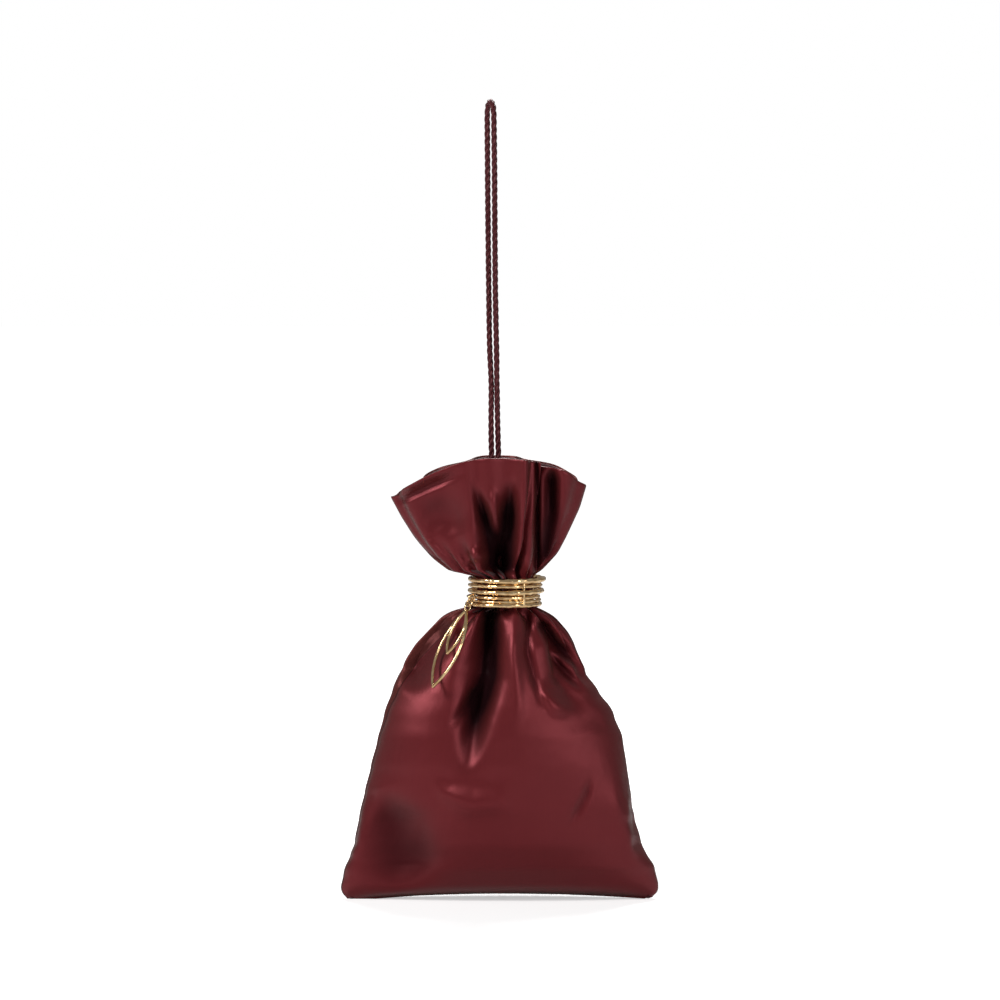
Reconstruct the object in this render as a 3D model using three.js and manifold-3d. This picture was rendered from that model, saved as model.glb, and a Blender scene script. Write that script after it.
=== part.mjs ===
// Evening pouch: a soft satin bag gathered at the neck by a cast cuff of six hammered rings,
// with a charm hung from the cuff and a long loop of twisted cord to carry it by.
// Millimetres, +Z up, +X to the right, -Y towards the viewer. The origin is inside the crown of the
// cord loop, where a wrist or a hook bears, so the levels below it are negative.
import * as THREE from 'three';
import { mergeVertices } from 'three/addons/utils/BufferGeometryUtils.js';
import Module from 'manifold-3d';

const wasm = await Module();
wasm.setup();

// Driving dimensions of the pouch
const CORD_SHOWING = 193;
const CORD_DIAMETER = 3;
const FRILL_HEIGHT = 66;
const FRILL_SIDE_HEIGHT = 45;
const MOUTH_WIDTH = 107;
const MOUTH_DEPTH = 46;
const NECK_DIAMETER = 35;
const NECK_CORE = 21;
const BODY_HEIGHT = 161.5;
const BODY_WIDTH = 174.5;
const BODY_DEPTH = 62;
const BASE_BOW = 4;
const SATIN = 1.2;
const LINING = 0.6;
const GAP = 0.3;

// The photographed pouch hangs a little askew: its neck, body and mouth each sit off the cord's line.
const NECK_SHIFT = 8;
const BODY_SHIFT = 5;
const MOUTH_SHIFT = -1;

// The body's section is an ellipse at the neck and narrows to its side seams below. SIDE_PINCH is how
// sharply, PINCH_DROP the share of the height in which it comes about. The neck's shift is gone when
// the body has widened by SHIFT_SPREAD, and the base seam bows up from BOW_START of the height.
const SIDE_PINCH = 1.45;
const PINCH_DROP = 0.083;
const SHIFT_SPREAD = 0.25;
const BOW_START = 0.85;

// How steeply the rim of the mouth falls from its middle to the side seams
const RIM_FALL = 1.5;

// Gathers of the satin, counted all round the neck. Each crest takes four facets.
const GATHERS = 10;
const FACETS_PER_GATHER = 4;
const NECK_GATHER = 2;

// Cuff: wire thickness of each ring from the top, the daylight under it, and how far it sits off centre.
// The hammer's marks are spaced round each ring and turned from one ring to the next by HAMMER_TURN.
// They slant across the wire and wrap a little past its outer half.
const CUFF_RINGS = [
  { wire: 2.7, daylight: 1.1, shift: 1.0, tilt: 0.012 },
  { wire: 1.8, daylight: 1.0, shift: 0.1, tilt: -0.010 },
  { wire: 2.3, daylight: 1.2, shift: 0.4, tilt: 0.014 },
  { wire: 1.6, daylight: 0.4, shift: -0.9, tilt: -0.006 },
  { wire: 1.4, daylight: 0.4, shift: -0.3, tilt: 0.008 },
  { wire: 2.3, daylight: 0, shift: -0.8, tilt: -0.008 },
];
const RING_FACETS = 36;
const WIRE_FACETS = 8;
const HAMMER_MARKS = 9;
const HAMMER_DEPTH = 0.1;
const HAMMER_TURN = 2.1;
const HAMMER_SLANT = 1.5;
const HAMMER_WRAP = 0.3;
const CUFF_JOINS = [-60, 42, 128];
const JOIN_WIRE = 1.5;

// Charm, the ring that it hangs by, and the eye on the cuff
const EYE_AZIMUTH = 217;
const EYE_DROP = 11;
const EYE_HOLE = 2.6;
const EYE_WIRE = 1.1;
const EYE_FACETS = 16;
const EYES_APART = 0.8;
const JUMP_WIRE = 1;
const JUMP_FACETS = 20;
const CHARM_LEAN = 29;
const CHARM_LENGTH = 46;
const CHARM_WIDTH = 18;
const CHARM_ROD = 1.8;
const INNER_LEAF = 0.56;
const TIP_SWELL = 1.12;
const LEAF_POINTS = 9;
const LEAF_STEPS = 12;

// Tab that the cord's two ends are sewn into, inside the back of the bag
const TAB_WIDTH = 15;
const TAB_LENGTH = 18;
const TAB_THICK = 3.8;
const TAB_DROP = 26.6;
const TAB_TILT = 10;
const TAB_CLEARANCE = 1.18;

// Levels and sizes that follow
const NECK_RADIUS = NECK_DIAMETER / 2;
const CORE_RADIUS = NECK_CORE / 2;
const RIM_LEVEL = -CORD_SHOWING;
const CUFF_TOP = RIM_LEVEL - FRILL_HEIGHT;
const CUFF_HEIGHT = CUFF_RINGS.reduce((sum, ring) => sum + ring.wire + ring.daylight, 0);
const CUFF_FOOT = CUFF_TOP - CUFF_HEIGHT;
const WAIST_LEVEL = CUFF_TOP - CUFF_RINGS[0].wire;
const SHOULDER_LEVEL = CUFF_FOOT - GAP;
const BASE_LEVEL = SHOULDER_LEVEL - BODY_HEIGHT;
const MOST_SHIFT = Math.max(...CUFF_RINGS.map((ring) => Math.abs(ring.shift)));
const CUFF_BORE = NECK_RADIUS + GAP + MOST_SHIFT;
const FACETS = GATHERS * FACETS_PER_GATHER;
const SEAM_GAP = GAP / 2;

const satin = { color: 0x5a1e20, roughness: 0.35, metalness: 0 };
const liningCloth = { color: 0x4a181c, roughness: 0.6, metalness: 0 };
const cordSilk = { color: 0x4c1a1f, roughness: 0.6, metalness: 0 };
const gold = { color: 0xc9a255, roughness: 0.25, metalness: 1 };

const mix = (a, b, share) => a + (b - a) * share;

function node(name, geometry, finish) {
  const mesh = new THREE.Mesh(geometry, new THREE.MeshStandardMaterial(finish));
  mesh.name = name;
  return mesh;
}

// A geometry's shared corners merged, so that its faces join into one closed surface
function closed(geometry) {
  const plain = geometry.index ? geometry.toNonIndexed() : geometry.clone();
  for (const name of Object.keys(plain.attributes)) {
    if (name !== 'position') plain.deleteAttribute(name);
  }
  const merged = mergeVertices(plain, 1e-4);
  merged.computeVertexNormals();
  return merged;
}

function toManifold(geometry) {
  const merged = closed(geometry);
  const vertProperties = new Float32Array(merged.attributes.position.array);
  const triVerts = new Uint32Array(merged.index.array);
  return new wasm.Manifold(new wasm.Mesh({ numProp: 3, vertProperties, triVerts }));
}

function fused(geometries) {
  const whole = geometries.map(toManifold).reduce((sum, piece) => sum.add(piece));
  const mesh = whole.getMesh();
  const geometry = new THREE.BufferGeometry();
  geometry.setAttribute('position', new THREE.BufferAttribute(mesh.vertProperties, 3));
  geometry.setIndex(new THREE.BufferAttribute(mesh.triVerts, 1));
  return closed(geometry);
}

// A cloth wall between two skins, each a grid of points in rows from the top down. A ring's rows close
// on themselves, and a bag's last row is its bottom seam, where front and back already meet.
function clothWall(outer, inner, { ring = false, bag = false } = {}) {
  const rows = outer.length - 1;
  const columns = outer[0].length - (ring ? 0 : 1);
  const positions = [];
  const quad = (a, b, c, d) => {
    for (const p of [a, b, c, a, c, d]) positions.push(p.x, p.y, p.z);
  };
  const next = (j) => (ring ? (j + 1) % columns : j + 1);
  for (let i = 0; i < rows; i += 1) {
    for (let j = 0; j < columns; j += 1) {
      const k = next(j);
      quad(outer[i][j], outer[i + 1][j], outer[i + 1][k], outer[i][k]);
      quad(inner[i][j], inner[i][k], inner[i + 1][k], inner[i + 1][j]);
    }
    if (!ring) {
      const last = columns;
      quad(outer[i + 1][0], outer[i][0], inner[i][0], inner[i + 1][0]);
      quad(outer[i][last], outer[i + 1][last], inner[i + 1][last], inner[i][last]);
    }
  }
  for (let j = 0; j < columns; j += 1) {
    const k = next(j);
    quad(outer[0][j], outer[0][k], inner[0][k], inner[0][j]);
    if (!bag) quad(outer[rows][k], outer[rows][j], inner[rows][j], inner[rows][k]);
  }
  const geometry = new THREE.BufferGeometry();
  geometry.setAttribute('position', new THREE.Float32BufferAttribute(positions, 3));
  return closed(geometry);
}

// Angles round the neck for the front half, the back half or the whole ring, with the seams at the sides
function angles(part) {
  const start = part === 'front' ? Math.PI : 0;
  const count = part === 'ring' ? FACETS : FACETS / 2 + 1;
  return Array.from({ length: count }, (_, j) => start + (j * 2 * Math.PI) / FACETS);
}

// Rows of points for one skin of the cloth. inset is how far the skin lies inside the satin's face.
function skin(stations, part, pointAt, inset) {
  const side = { front: -SEAM_GAP, back: SEAM_GAP, ring: 0 }[part];
  return stations.map((station) => angles(part).map((angle) => {
    const point = pointAt(station, angle, inset(station));
    point.y += side;
    return point;
  }));
}

// How far a gather's valley lies in from its crest. Inside the neck the packed folds fill the valleys.
function valley(station, angle, inset) {
  const depth = inset > 0 ? station.gather * station.open : station.gather;
  return (depth * (1 - Math.cos(GATHERS * angle))) / 2;
}

// Body, from the waist hidden in the cuff down to the base seam. drop is a share of the body's height,
// spread and swell how far the half width and half depth have grown from the neck to the widest, tuck
// what is left of the depth as the base closes, gather the folds' depth, open how far they show inside
// and wall the cloth's thickness, which at the neck is the whole pack of folds.
const PACK = NECK_RADIUS - CORE_RADIUS;
const bodyStation = (drop, spread, swell, tuck, gather, open, wall) => ({
  level: mix(SHOULDER_LEVEL, BASE_LEVEL, drop),
  halfWidth: mix(NECK_RADIUS, BODY_WIDTH / 2, spread),
  halfDepth: mix(NECK_RADIUS, BODY_DEPTH / 2, swell) * tuck,
  shift: mix(NECK_SHIFT, BODY_SHIFT, Math.min(1, spread / SHIFT_SPREAD)),
  lift: Math.max(0, (drop - BOW_START) / (1 - BOW_START)),
  pinch: mix(1, SIDE_PINCH, Math.min(1, drop / PINCH_DROP)),
  gather,
  open,
  wall,
});
const BODY_STATIONS = [
  { ...bodyStation(0, 0, 0, 1, NECK_GATHER, 0, PACK), level: WAIST_LEVEL - SEAM_GAP },
  bodyStation(0, 0, 0, 1, NECK_GATHER, 0, PACK),
  bodyStation(0.02, 0.13, 0.04, 1, NECK_GATHER * 1.1, 0.1, PACK * 0.75),
  bodyStation(0.05, 0.22, 0.1, 1, NECK_GATHER * 1.2, 0.5, SATIN * 2.6),
  bodyStation(0.09, 0.3, 0.2, 1, NECK_GATHER * 1.3, 1, SATIN),
  bodyStation(0.15, 0.39, 0.37, 1, NECK_GATHER * 1.3, 1, SATIN),
  bodyStation(0.23, 0.485, 0.6, 1, NECK_GATHER, 1, SATIN),
  bodyStation(0.34, 0.61, 0.83, 1, NECK_GATHER * 0.6, 1, SATIN),
  bodyStation(0.5, 0.735, 1, 1, 0, 1, SATIN),
  bodyStation(0.675, 0.81, 0.95, 1, 0, 1, SATIN),
  bodyStation(0.8, 0.88, 0.8, 1, 0, 1, SATIN),
  bodyStation(0.885, 0.965, 0.66, 0.97, 0, 1, SATIN),
  bodyStation(0.955, 1, 0.5, 0.82, 0, 1, SATIN),
  bodyStation(0.988, 0.985, 0.5, 0.48, 0, 1, SATIN),
  bodyStation(1, 0.93, 0.5, 0, 0, 1, SATIN),
];

function bodyPoint(station, angle, inset) {
  const closing = Math.max(0, inset - (station.wall - SATIN));
  const width = station.halfWidth - inset - valley(station, angle, inset);
  const depth = Math.max(0, station.halfDepth - inset - valley(station, angle, inset));
  const lift = station.lift * (BASE_BOW * Math.sin(angle) ** 2 + closing);
  return new THREE.Vector3(
    station.shift + width * Math.cos(angle),
    depth * Math.sign(Math.sin(angle)) * Math.abs(Math.sin(angle)) ** station.pinch,
    station.level + lift,
  );
}

// Frill above the cuff. rise is a share of the height from the cuff to the rim.
const frillStation = (rise, spread, swell, gather, open, wall) => ({
  rise,
  halfWidth: mix(NECK_RADIUS, MOUTH_WIDTH / 2, spread),
  halfDepth: mix(NECK_RADIUS, MOUTH_DEPTH / 2, swell),
  shift: mix(NECK_SHIFT, MOUTH_SHIFT, spread),
  gather,
  open,
  wall,
});
const FRILL_STATIONS = [
  frillStation(1, 1, 1, NECK_GATHER * 2.5, 1, SATIN),
  frillStation(0.75, 0.84, 0.92, NECK_GATHER * 2.3, 1, SATIN),
  frillStation(0.5, 0.64, 0.8, NECK_GATHER * 2, 1, SATIN),
  frillStation(0.25, 0.42, 0.55, NECK_GATHER * 1.6, 1, SATIN),
  frillStation(0.1, 0.24, 0.25, NECK_GATHER * 1.3, 0.4, PACK * 0.6),
  frillStation(0.01, 0, 0, NECK_GATHER, 0, PACK),
  { ...frillStation(0, 0, 0, NECK_GATHER, 0, PACK), level: WAIST_LEVEL + SEAM_GAP },
];

function frillPoint(station, angle, inset) {
  const height = mix(FRILL_HEIGHT, FRILL_SIDE_HEIGHT, Math.abs(Math.cos(angle)) ** RIM_FALL);
  const inward = inset + valley(station, angle, inset);
  return new THREE.Vector3(
    station.shift + (station.halfWidth - inward) * Math.cos(angle),
    (station.halfDepth - inward) * Math.sin(angle),
    station.level ?? CUFF_TOP + height * station.rise,
  );
}

const face = () => 0;
const back = (station) => station.wall;
const liningFace = (station) => station.wall + GAP;
const liningBack = (station) => station.wall + GAP + LINING;

function satinPanel(stations, part, pointAt) {
  return clothWall(skin(stations, part, pointAt, face), skin(stations, part, pointAt, back));
}

function liningOf(stations, pointAt, bag) {
  const outer = skin(stations, 'ring', pointAt, liningFace);
  const inner = skin(stations, 'ring', pointAt, liningBack);
  return clothWall(outer, inner, { ring: true, bag });
}

// Wire bent into a closed planar curve: at(turn) gives the centre and the outward direction in the
// plane for a turn from 0 to 1, up is the plane's normal and wire(turn, around) the half thickness.
function bentWire(at, up, wire, steps) {
  const rings = Array.from({ length: steps }, (_, i) => {
    const turn = i / steps;
    const { centre, out } = at(turn);
    return Array.from({ length: WIRE_FACETS }, (__, j) => {
      const around = ((j + 0.5) / WIRE_FACETS) * 2 * Math.PI;
      const half = wire(turn, around);
      return centre.clone()
        .addScaledVector(out, half * Math.cos(around))
        .addScaledVector(up, half * Math.sin(around));
    });
  });
  const positions = [];
  for (let i = 0; i < steps; i += 1) {
    for (let j = 0; j < WIRE_FACETS; j += 1) {
      const a = rings[i][j];
      const b = rings[(i + 1) % steps][j];
      const c = rings[(i + 1) % steps][(j + 1) % WIRE_FACETS];
      const d = rings[i][(j + 1) % WIRE_FACETS];
      for (const p of [a, b, c, a, c, d]) positions.push(p.x, p.y, p.z);
    }
  }
  const geometry = new THREE.BufferGeometry();
  geometry.setAttribute('position', new THREE.Float32BufferAttribute(positions, 3));
  return closed(geometry);
}

const UP = new THREE.Vector3(0, 0, 1);

// Round ring of plain wire lying in the XY plane, centred on the origin
function wireRing(middle, wire, steps) {
  const at = (turn) => {
    const angle = turn * 2 * Math.PI;
    const out = new THREE.Vector3(Math.cos(angle), Math.sin(angle), 0);
    return { centre: out.clone().multiplyScalar(middle), out };
  };
  return bentWire(at, UP, () => wire / 2, steps);
}

// One ring of the cuff. Hammer blows thin the wire here and there, and never inside the bore.
function hammeredRing(ring, level, index) {
  const middle = CUFF_BORE + ring.wire / 2;
  const at = (turn) => {
    const angle = turn * 2 * Math.PI;
    const out = new THREE.Vector3(Math.cos(angle), Math.sin(angle), 0);
    const centre = out.clone().multiplyScalar(middle);
    centre.z = middle * ring.tilt * Math.sin(angle);
    return { centre, out };
  };
  const blows = (turn, around) => {
    const slant = index * HAMMER_TURN + Math.sin(around) * HAMMER_SLANT;
    const phase = turn * 2 * Math.PI * HAMMER_MARKS + slant;
    const outside = Math.max(0, Math.cos(around) + HAMMER_WRAP);
    return (ring.wire / 2) * (1 - HAMMER_DEPTH * outside * (1 + Math.sin(phase)));
  };
  const geometry = bentWire(at, UP, blows, RING_FACETS);
  return geometry.translate(ring.shift, 0, level);
}

function cuffGeometry() {
  const pieces = [];
  const levels = [];
  let level = CUFF_TOP;
  for (const [index, ring] of CUFF_RINGS.entries()) {
    level -= ring.wire / 2;
    levels.push(level);
    pieces.push(hammeredRing(ring, level, index));
    level -= ring.wire / 2 + ring.daylight;
  }
  const topRing = levels[0];
  const lowRing = levels[levels.length - 1];
  for (const azimuth of CUFF_JOINS) {
    const join = new THREE.CylinderGeometry(JOIN_WIRE / 2, JOIN_WIRE / 2, topRing - lowRing, 8);
    const reach = CUFF_BORE + MOST_SHIFT + JOIN_WIRE / 2;
    const angle = THREE.MathUtils.degToRad(azimuth);
    join.rotateX(Math.PI / 2);
    join.translate(reach * Math.cos(angle), reach * Math.sin(angle), (topRing + lowRing) / 2);
    pieces.push(join);
  }
  const eye = wireRing(EYE_MIDDLE, EYE_WIRE, EYE_FACETS);
  eye.rotateX(Math.PI / 2);
  eye.rotateZ(THREE.MathUtils.degToRad(EYE_AZIMUTH));
  eye.translate(EYE_REACH * EYE_OUT.x, EYE_REACH * EYE_OUT.y, CUFF_TOP - EYE_DROP);
  pieces.push(eye);
  return fused(pieces).translate(NECK_SHIFT, 0, 0);
}

// The eye stands on the outside of the rings. The jump ring hangs in it, and the charm's own eye in
// that, so the jump ring is as large as keeps the two eyes apart.
const EYE_ANGLE = THREE.MathUtils.degToRad(EYE_AZIMUTH);
const EYE_OUT = new THREE.Vector3(Math.cos(EYE_ANGLE), Math.sin(EYE_ANGLE), 0);
const EYE_REACH = CUFF_BORE + CUFF_RINGS[3].wire + MOST_SHIFT + EYE_HOLE / 2 + EYE_WIRE / 4;
const EYE_MIDDLE = EYE_HOLE / 2 + EYE_WIRE / 2;
const SEAT = EYE_HOLE / 2 - JUMP_WIRE / 2 - GAP;
const CHARM_TOP = 2 * EYE_MIDDLE + EYE_WIRE + EYES_APART;
const JUMP_RING_MIDDLE = CHARM_TOP / 2 - SEAT;

// In this group -Z runs down the charm and Y out from the neck, leaning as the charm lies on the satin.
const hanging = new THREE.Group();
hanging.position.set(
  NECK_SHIFT + EYE_REACH * EYE_OUT.x,
  EYE_REACH * EYE_OUT.y,
  CUFF_TOP - EYE_DROP,
);
hanging.rotation.z = EYE_ANGLE - Math.PI / 2;
const leaning = new THREE.Group();
leaning.rotation.x = THREE.MathUtils.degToRad(CHARM_LEAN);
hanging.add(leaning);

const jumpRing = node('jump_ring', wireRing(JUMP_RING_MIDDLE, JUMP_WIRE, JUMP_FACETS), gold);
jumpRing.rotation.x = Math.PI / 2;
jumpRing.position.z = -SEAT - JUMP_RING_MIDDLE;
leaning.add(jumpRing);

// Charm: two nested pointed leaves of round rod, joined at the tip under a loop turned across them
function leaf(length, width, top) {
  const half = length / 2;
  const radius = (half * half + (width / 2) * (width / 2)) / width;
  const swing = Math.asin(half / radius);
  const pieces = [];
  for (const side of [-1, 1]) {
    const points = Array.from({ length: LEAF_POINTS }, (_, i) => {
      const angle = mix(-swing, swing, i / (LEAF_POINTS - 1));
      const x = side * (radius * Math.cos(angle) - (radius - width / 2));
      return new THREE.Vector3(x, 0, top - half + radius * Math.sin(angle));
    });
    const section = new THREE.Shape();
    section.absarc(0, 0, CHARM_ROD / 2, 0, 2 * Math.PI);
    pieces.push(new THREE.ExtrudeGeometry(section, {
      steps: LEAF_STEPS,
      curveSegments: 4,
      extrudePath: new THREE.CatmullRomCurve3(points),
    }));
  }
  for (const end of [top, top - length]) {
    const ball = new THREE.SphereGeometry((CHARM_ROD / 2) * TIP_SWELL, 8, 6);
    pieces.push(ball.translate(0, 0, end));
  }
  return pieces;
}

function charmGeometry() {
  const loop = wireRing(EYE_MIDDLE, EYE_WIRE, EYE_FACETS).rotateY(Math.PI / 2);
  const top = -EYE_MIDDLE - CHARM_ROD / 4;
  return fused([
    loop,
    ...leaf(CHARM_LENGTH, CHARM_WIDTH, top),
    ...leaf(CHARM_LENGTH * INNER_LEAF, CHARM_WIDTH * INNER_LEAF, top),
  ]);
}

const charm = node('charm', charmGeometry(), gold);
charm.position.z = -CHARM_TOP;
leaning.add(charm);

// Cord: up one side from the tab, over the crown and down the other. The loop stands almost edge on to
// the viewer at the crown and lies side by side where it enters the mouth.
const CORD_ROUTE = [
  [6.0, 15.2, -301.5], [6.0, 14.1, -296], [5.9, 11.8, -289], [5.8, 9.2, -282], [5.6, 6.9, -275.5],
  [5.3, 5.8, -268], [4.9, 5.2, -256], [3.4, 4.6, -236], [1.7, 3.7, -214], [0.6, 2.6, -193],
  [0.3, 2.0, -174], [0.4, 1.6, -153.5], [-0.4, 2.0, -135], [-0.9, 3.2, -105], [-1.3, 4.4, -70],
  [-1.6, 5.4, -35], [-1.75, 5.74, -12], [-1.75, 5.74, -4.5], [-1.24, 4.06, -0.26], [0, 0, 1.5],
  [1.24, -4.06, -0.26], [1.75, -5.74, -4.5], [1.9, -5.74, -12], [2.2, -5.3, -35], [2.4, -4.2, -70],
  [2.7, -2.6, -105], [3.3, -0.8, -135], [3.5, 0.4, -153.5], [3.9, 1.2, -174], [4.4, 2.2, -193],
  [5.6, 3.4, -214], [7.2, 4.4, -236], [8.8, 5.2, -256], [9.3, 5.8, -268], [9.6, 6.9, -275.5],
  [9.8, 9.2, -282], [9.9, 11.8, -289], [10.0, 14.1, -296], [10.0, 15.2, -301.5],
];

const CORD_STEPS = 80;
const CORD_SIDES = 8;

function cordGeometry() {
  const path = new THREE.CatmullRomCurve3(CORD_ROUTE.map(([x, y, z]) => new THREE.Vector3(x, y, z)));
  path.arcLengthDivisions = 2000;
  const section = new THREE.Shape();
  const corners = Array.from({ length: CORD_SIDES }, (_, i) => {
    const angle = (i / CORD_SIDES) * 2 * Math.PI;
    return new THREE.Vector2(Math.cos(angle), Math.sin(angle)).multiplyScalar(CORD_DIAMETER / 2);
  });
  section.setFromPoints(corners);
  return new THREE.ExtrudeGeometry(section, { steps: CORD_STEPS, extrudePath: path });
}

// Depth of the back lining's inner face at its middle, for a level inside the body
function insideDepth(level) {
  const below = BODY_STATIONS.findIndex((station) => station.level <= level);
  const upper = BODY_STATIONS[below - 1];
  const lower = BODY_STATIONS[below];
  const depthOf = (station) => bodyPoint(station, Math.PI / 2, liningBack(station)).y;
  const share = (upper.level - level) / (upper.level - lower.level);
  return mix(depthOf(upper), depthOf(lower), share);
}

// The tab is a strip of satin folded over the cord's ends and sewn flat to the back lining.
function tabGeometry() {
  const outline = new THREE.Shape();
  const round = TAB_THICK / 2;
  const flat = TAB_WIDTH / 2 - round;
  outline.moveTo(-flat, -round);
  outline.lineTo(flat, -round);
  outline.absarc(flat, 0, round, -Math.PI / 2, Math.PI / 2);
  outline.lineTo(-flat, round);
  outline.absarc(-flat, 0, round, Math.PI / 2, (3 * Math.PI) / 2);
  return new THREE.ExtrudeGeometry(outline, { depth: TAB_LENGTH, bevelEnabled: false, curveSegments: 6 });
}

const tabTop = SHOULDER_LEVEL - TAB_DROP;
const tabDepth = insideDepth(tabTop) - TAB_THICK / 2 - TAB_CLEARANCE;
const cordTab = node('cord_tab', tabGeometry(), satin);
const tabHang = new THREE.Group();
tabHang.position.set(NECK_SHIFT, tabDepth, tabTop);
tabHang.rotation.x = THREE.MathUtils.degToRad(TAB_TILT);
cordTab.position.z = -TAB_LENGTH;
tabHang.add(cordTab);

const pouch = new THREE.Group();
pouch.add(
  node('front_panel', satinPanel(BODY_STATIONS, 'front', bodyPoint), satin),
  node('back_panel', satinPanel(BODY_STATIONS, 'back', bodyPoint), satin),
  node('lining', liningOf(BODY_STATIONS, bodyPoint, true), liningCloth),
  node('front_frill', satinPanel(FRILL_STATIONS, 'front', frillPoint), satin),
  node('back_frill', satinPanel(FRILL_STATIONS, 'back', frillPoint), satin),
  node('mouth_facing', liningOf(FRILL_STATIONS, frillPoint, false), liningCloth),
  node('cord', cordGeometry(), cordSilk),
  node('cuff', cuffGeometry(), gold),
  tabHang,
  hanging,
);

export default pouch;
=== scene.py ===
# %% [markdown]
# # An evening pouch in satin
# A soft satin bag is drawn in at its neck by a cast gold cuff and hangs from a long loop of twisted
# cord. The imported model already holds every piece at its real size, so this lesson dresses it: each
# step says what the piece is on the real pouch and how it is made here. The box of the imported model is
# kept, and the floor is laid just under it.

# %% Load the imported model
import math

import bpy
import numpy as np
from mathutils import Matrix, Vector


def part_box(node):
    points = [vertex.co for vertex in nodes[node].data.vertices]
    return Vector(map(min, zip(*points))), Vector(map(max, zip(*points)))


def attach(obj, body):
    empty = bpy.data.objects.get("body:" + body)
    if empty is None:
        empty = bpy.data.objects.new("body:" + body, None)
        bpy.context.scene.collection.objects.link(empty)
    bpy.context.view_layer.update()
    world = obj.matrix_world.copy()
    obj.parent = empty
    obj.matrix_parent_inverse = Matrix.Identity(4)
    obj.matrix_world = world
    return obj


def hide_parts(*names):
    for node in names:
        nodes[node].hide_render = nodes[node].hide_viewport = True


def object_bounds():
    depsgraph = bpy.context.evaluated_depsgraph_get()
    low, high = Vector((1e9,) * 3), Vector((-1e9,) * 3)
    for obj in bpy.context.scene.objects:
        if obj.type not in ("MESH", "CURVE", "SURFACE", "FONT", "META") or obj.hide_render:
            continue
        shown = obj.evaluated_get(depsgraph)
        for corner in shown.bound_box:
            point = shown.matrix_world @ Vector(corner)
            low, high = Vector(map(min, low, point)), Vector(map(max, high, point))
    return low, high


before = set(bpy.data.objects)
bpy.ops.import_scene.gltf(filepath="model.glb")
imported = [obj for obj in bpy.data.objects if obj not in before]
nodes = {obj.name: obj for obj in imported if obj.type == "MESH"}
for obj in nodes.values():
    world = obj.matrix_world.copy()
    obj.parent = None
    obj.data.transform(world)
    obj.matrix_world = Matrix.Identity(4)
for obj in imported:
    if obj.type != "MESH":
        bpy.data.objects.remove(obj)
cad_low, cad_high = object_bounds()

MM = 0.001
TAU = 2 * math.pi
print("CAD nodes:", ", ".join(sorted(nodes)))


# %% [markdown]
# A piece made by hand in Blender is picked, moved and named many times over. These helpers do that:
# nothing else stays picked, every piece has its own name, and its place goes into the mesh, so that the
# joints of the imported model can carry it.

# %% Small helpers
def deselect_all():
    for obj in bpy.context.selected_objects:
        obj.select_set(False)


def only(obj):
    deselect_all()
    obj.select_set(True)
    bpy.context.view_layer.objects.active = obj
    return obj


def new_piece(name):
    """The primitive that was just added, under its own name."""
    obj = bpy.context.active_object
    obj.name = name
    obj.data.name = name
    return obj


def settle(obj):
    """Puts the object's place into its mesh, so that the object itself sits at the origin."""
    only(obj)
    bpy.ops.object.transform_apply(location=True, rotation=True, scale=True)
    return obj


def apply_modifiers(obj):
    only(obj)
    for modifier in list(obj.modifiers):
        bpy.ops.object.modifier_apply(modifier=modifier.name)
    return obj


def joined(name, pieces):
    deselect_all()
    for piece in pieces:
        piece.select_set(True)
    bpy.context.view_layer.objects.active = pieces[0]
    if len(pieces) > 1:
        bpy.ops.object.join()
    return new_piece(name)


def smooth(obj, degrees=180):
    only(obj)
    bpy.ops.object.shade_smooth_by_angle(angle=math.radians(degrees))
    return obj


def mesh_object(name, points, faces):
    mesh = bpy.data.meshes.new(name)
    mesh.from_pydata([tuple(p) for p in points], [], faces)
    mesh.update()
    obj = bpy.data.objects.new(name, mesh)
    bpy.context.scene.collection.objects.link(obj)
    return obj


def mix(a, b, share):
    """A value on the way from a to b, by the share of that way."""
    return a + (b - a) * share


def triangles(obj):
    return sum(len(face.vertices) - 2 for face in obj.data.polygons)


# %% [markdown]
# ## Camera
# The photograph was taken from far away and a little above, straight on. A long lens keeps the cord
# and the base free of perspective. The frame of the photograph is 0.55 m wide at the pouch.

# %% Camera
FRAME_WIDTH = 0.55
CAMERA_DISTANCE = 2.6
CAMERA_RISE = math.radians(3)
SENSOR = 36
AIM = Vector((0.0052, 0, -0.217))

bpy.ops.object.camera_add()
camera = bpy.context.active_object
camera.name = "camera"
camera.data.sensor_width = SENSOR
camera.data.lens = SENSOR * CAMERA_DISTANCE / FRAME_WIDTH
camera.location = AIM + Vector((0, -math.cos(CAMERA_RISE), math.sin(CAMERA_RISE))) * CAMERA_DISTANCE
camera.rotation_euler = (AIM - camera.location).to_track_quat("-Z", "Y").to_euler()
bpy.context.scene.camera = camera
print("lens", round(camera.data.lens), "mm")

# %% [markdown]
# ## Cord
# Three plies of rayon are twisted into a cord 3 mm thick. Both ends are sewn into a tab inside the
# back, and the loop hangs taut from a wrist or hook. Its route is the CAD cord's, point by point. Each
# ply is a tube wound round that route, so the twist is real geometry and catches the light.

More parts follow.
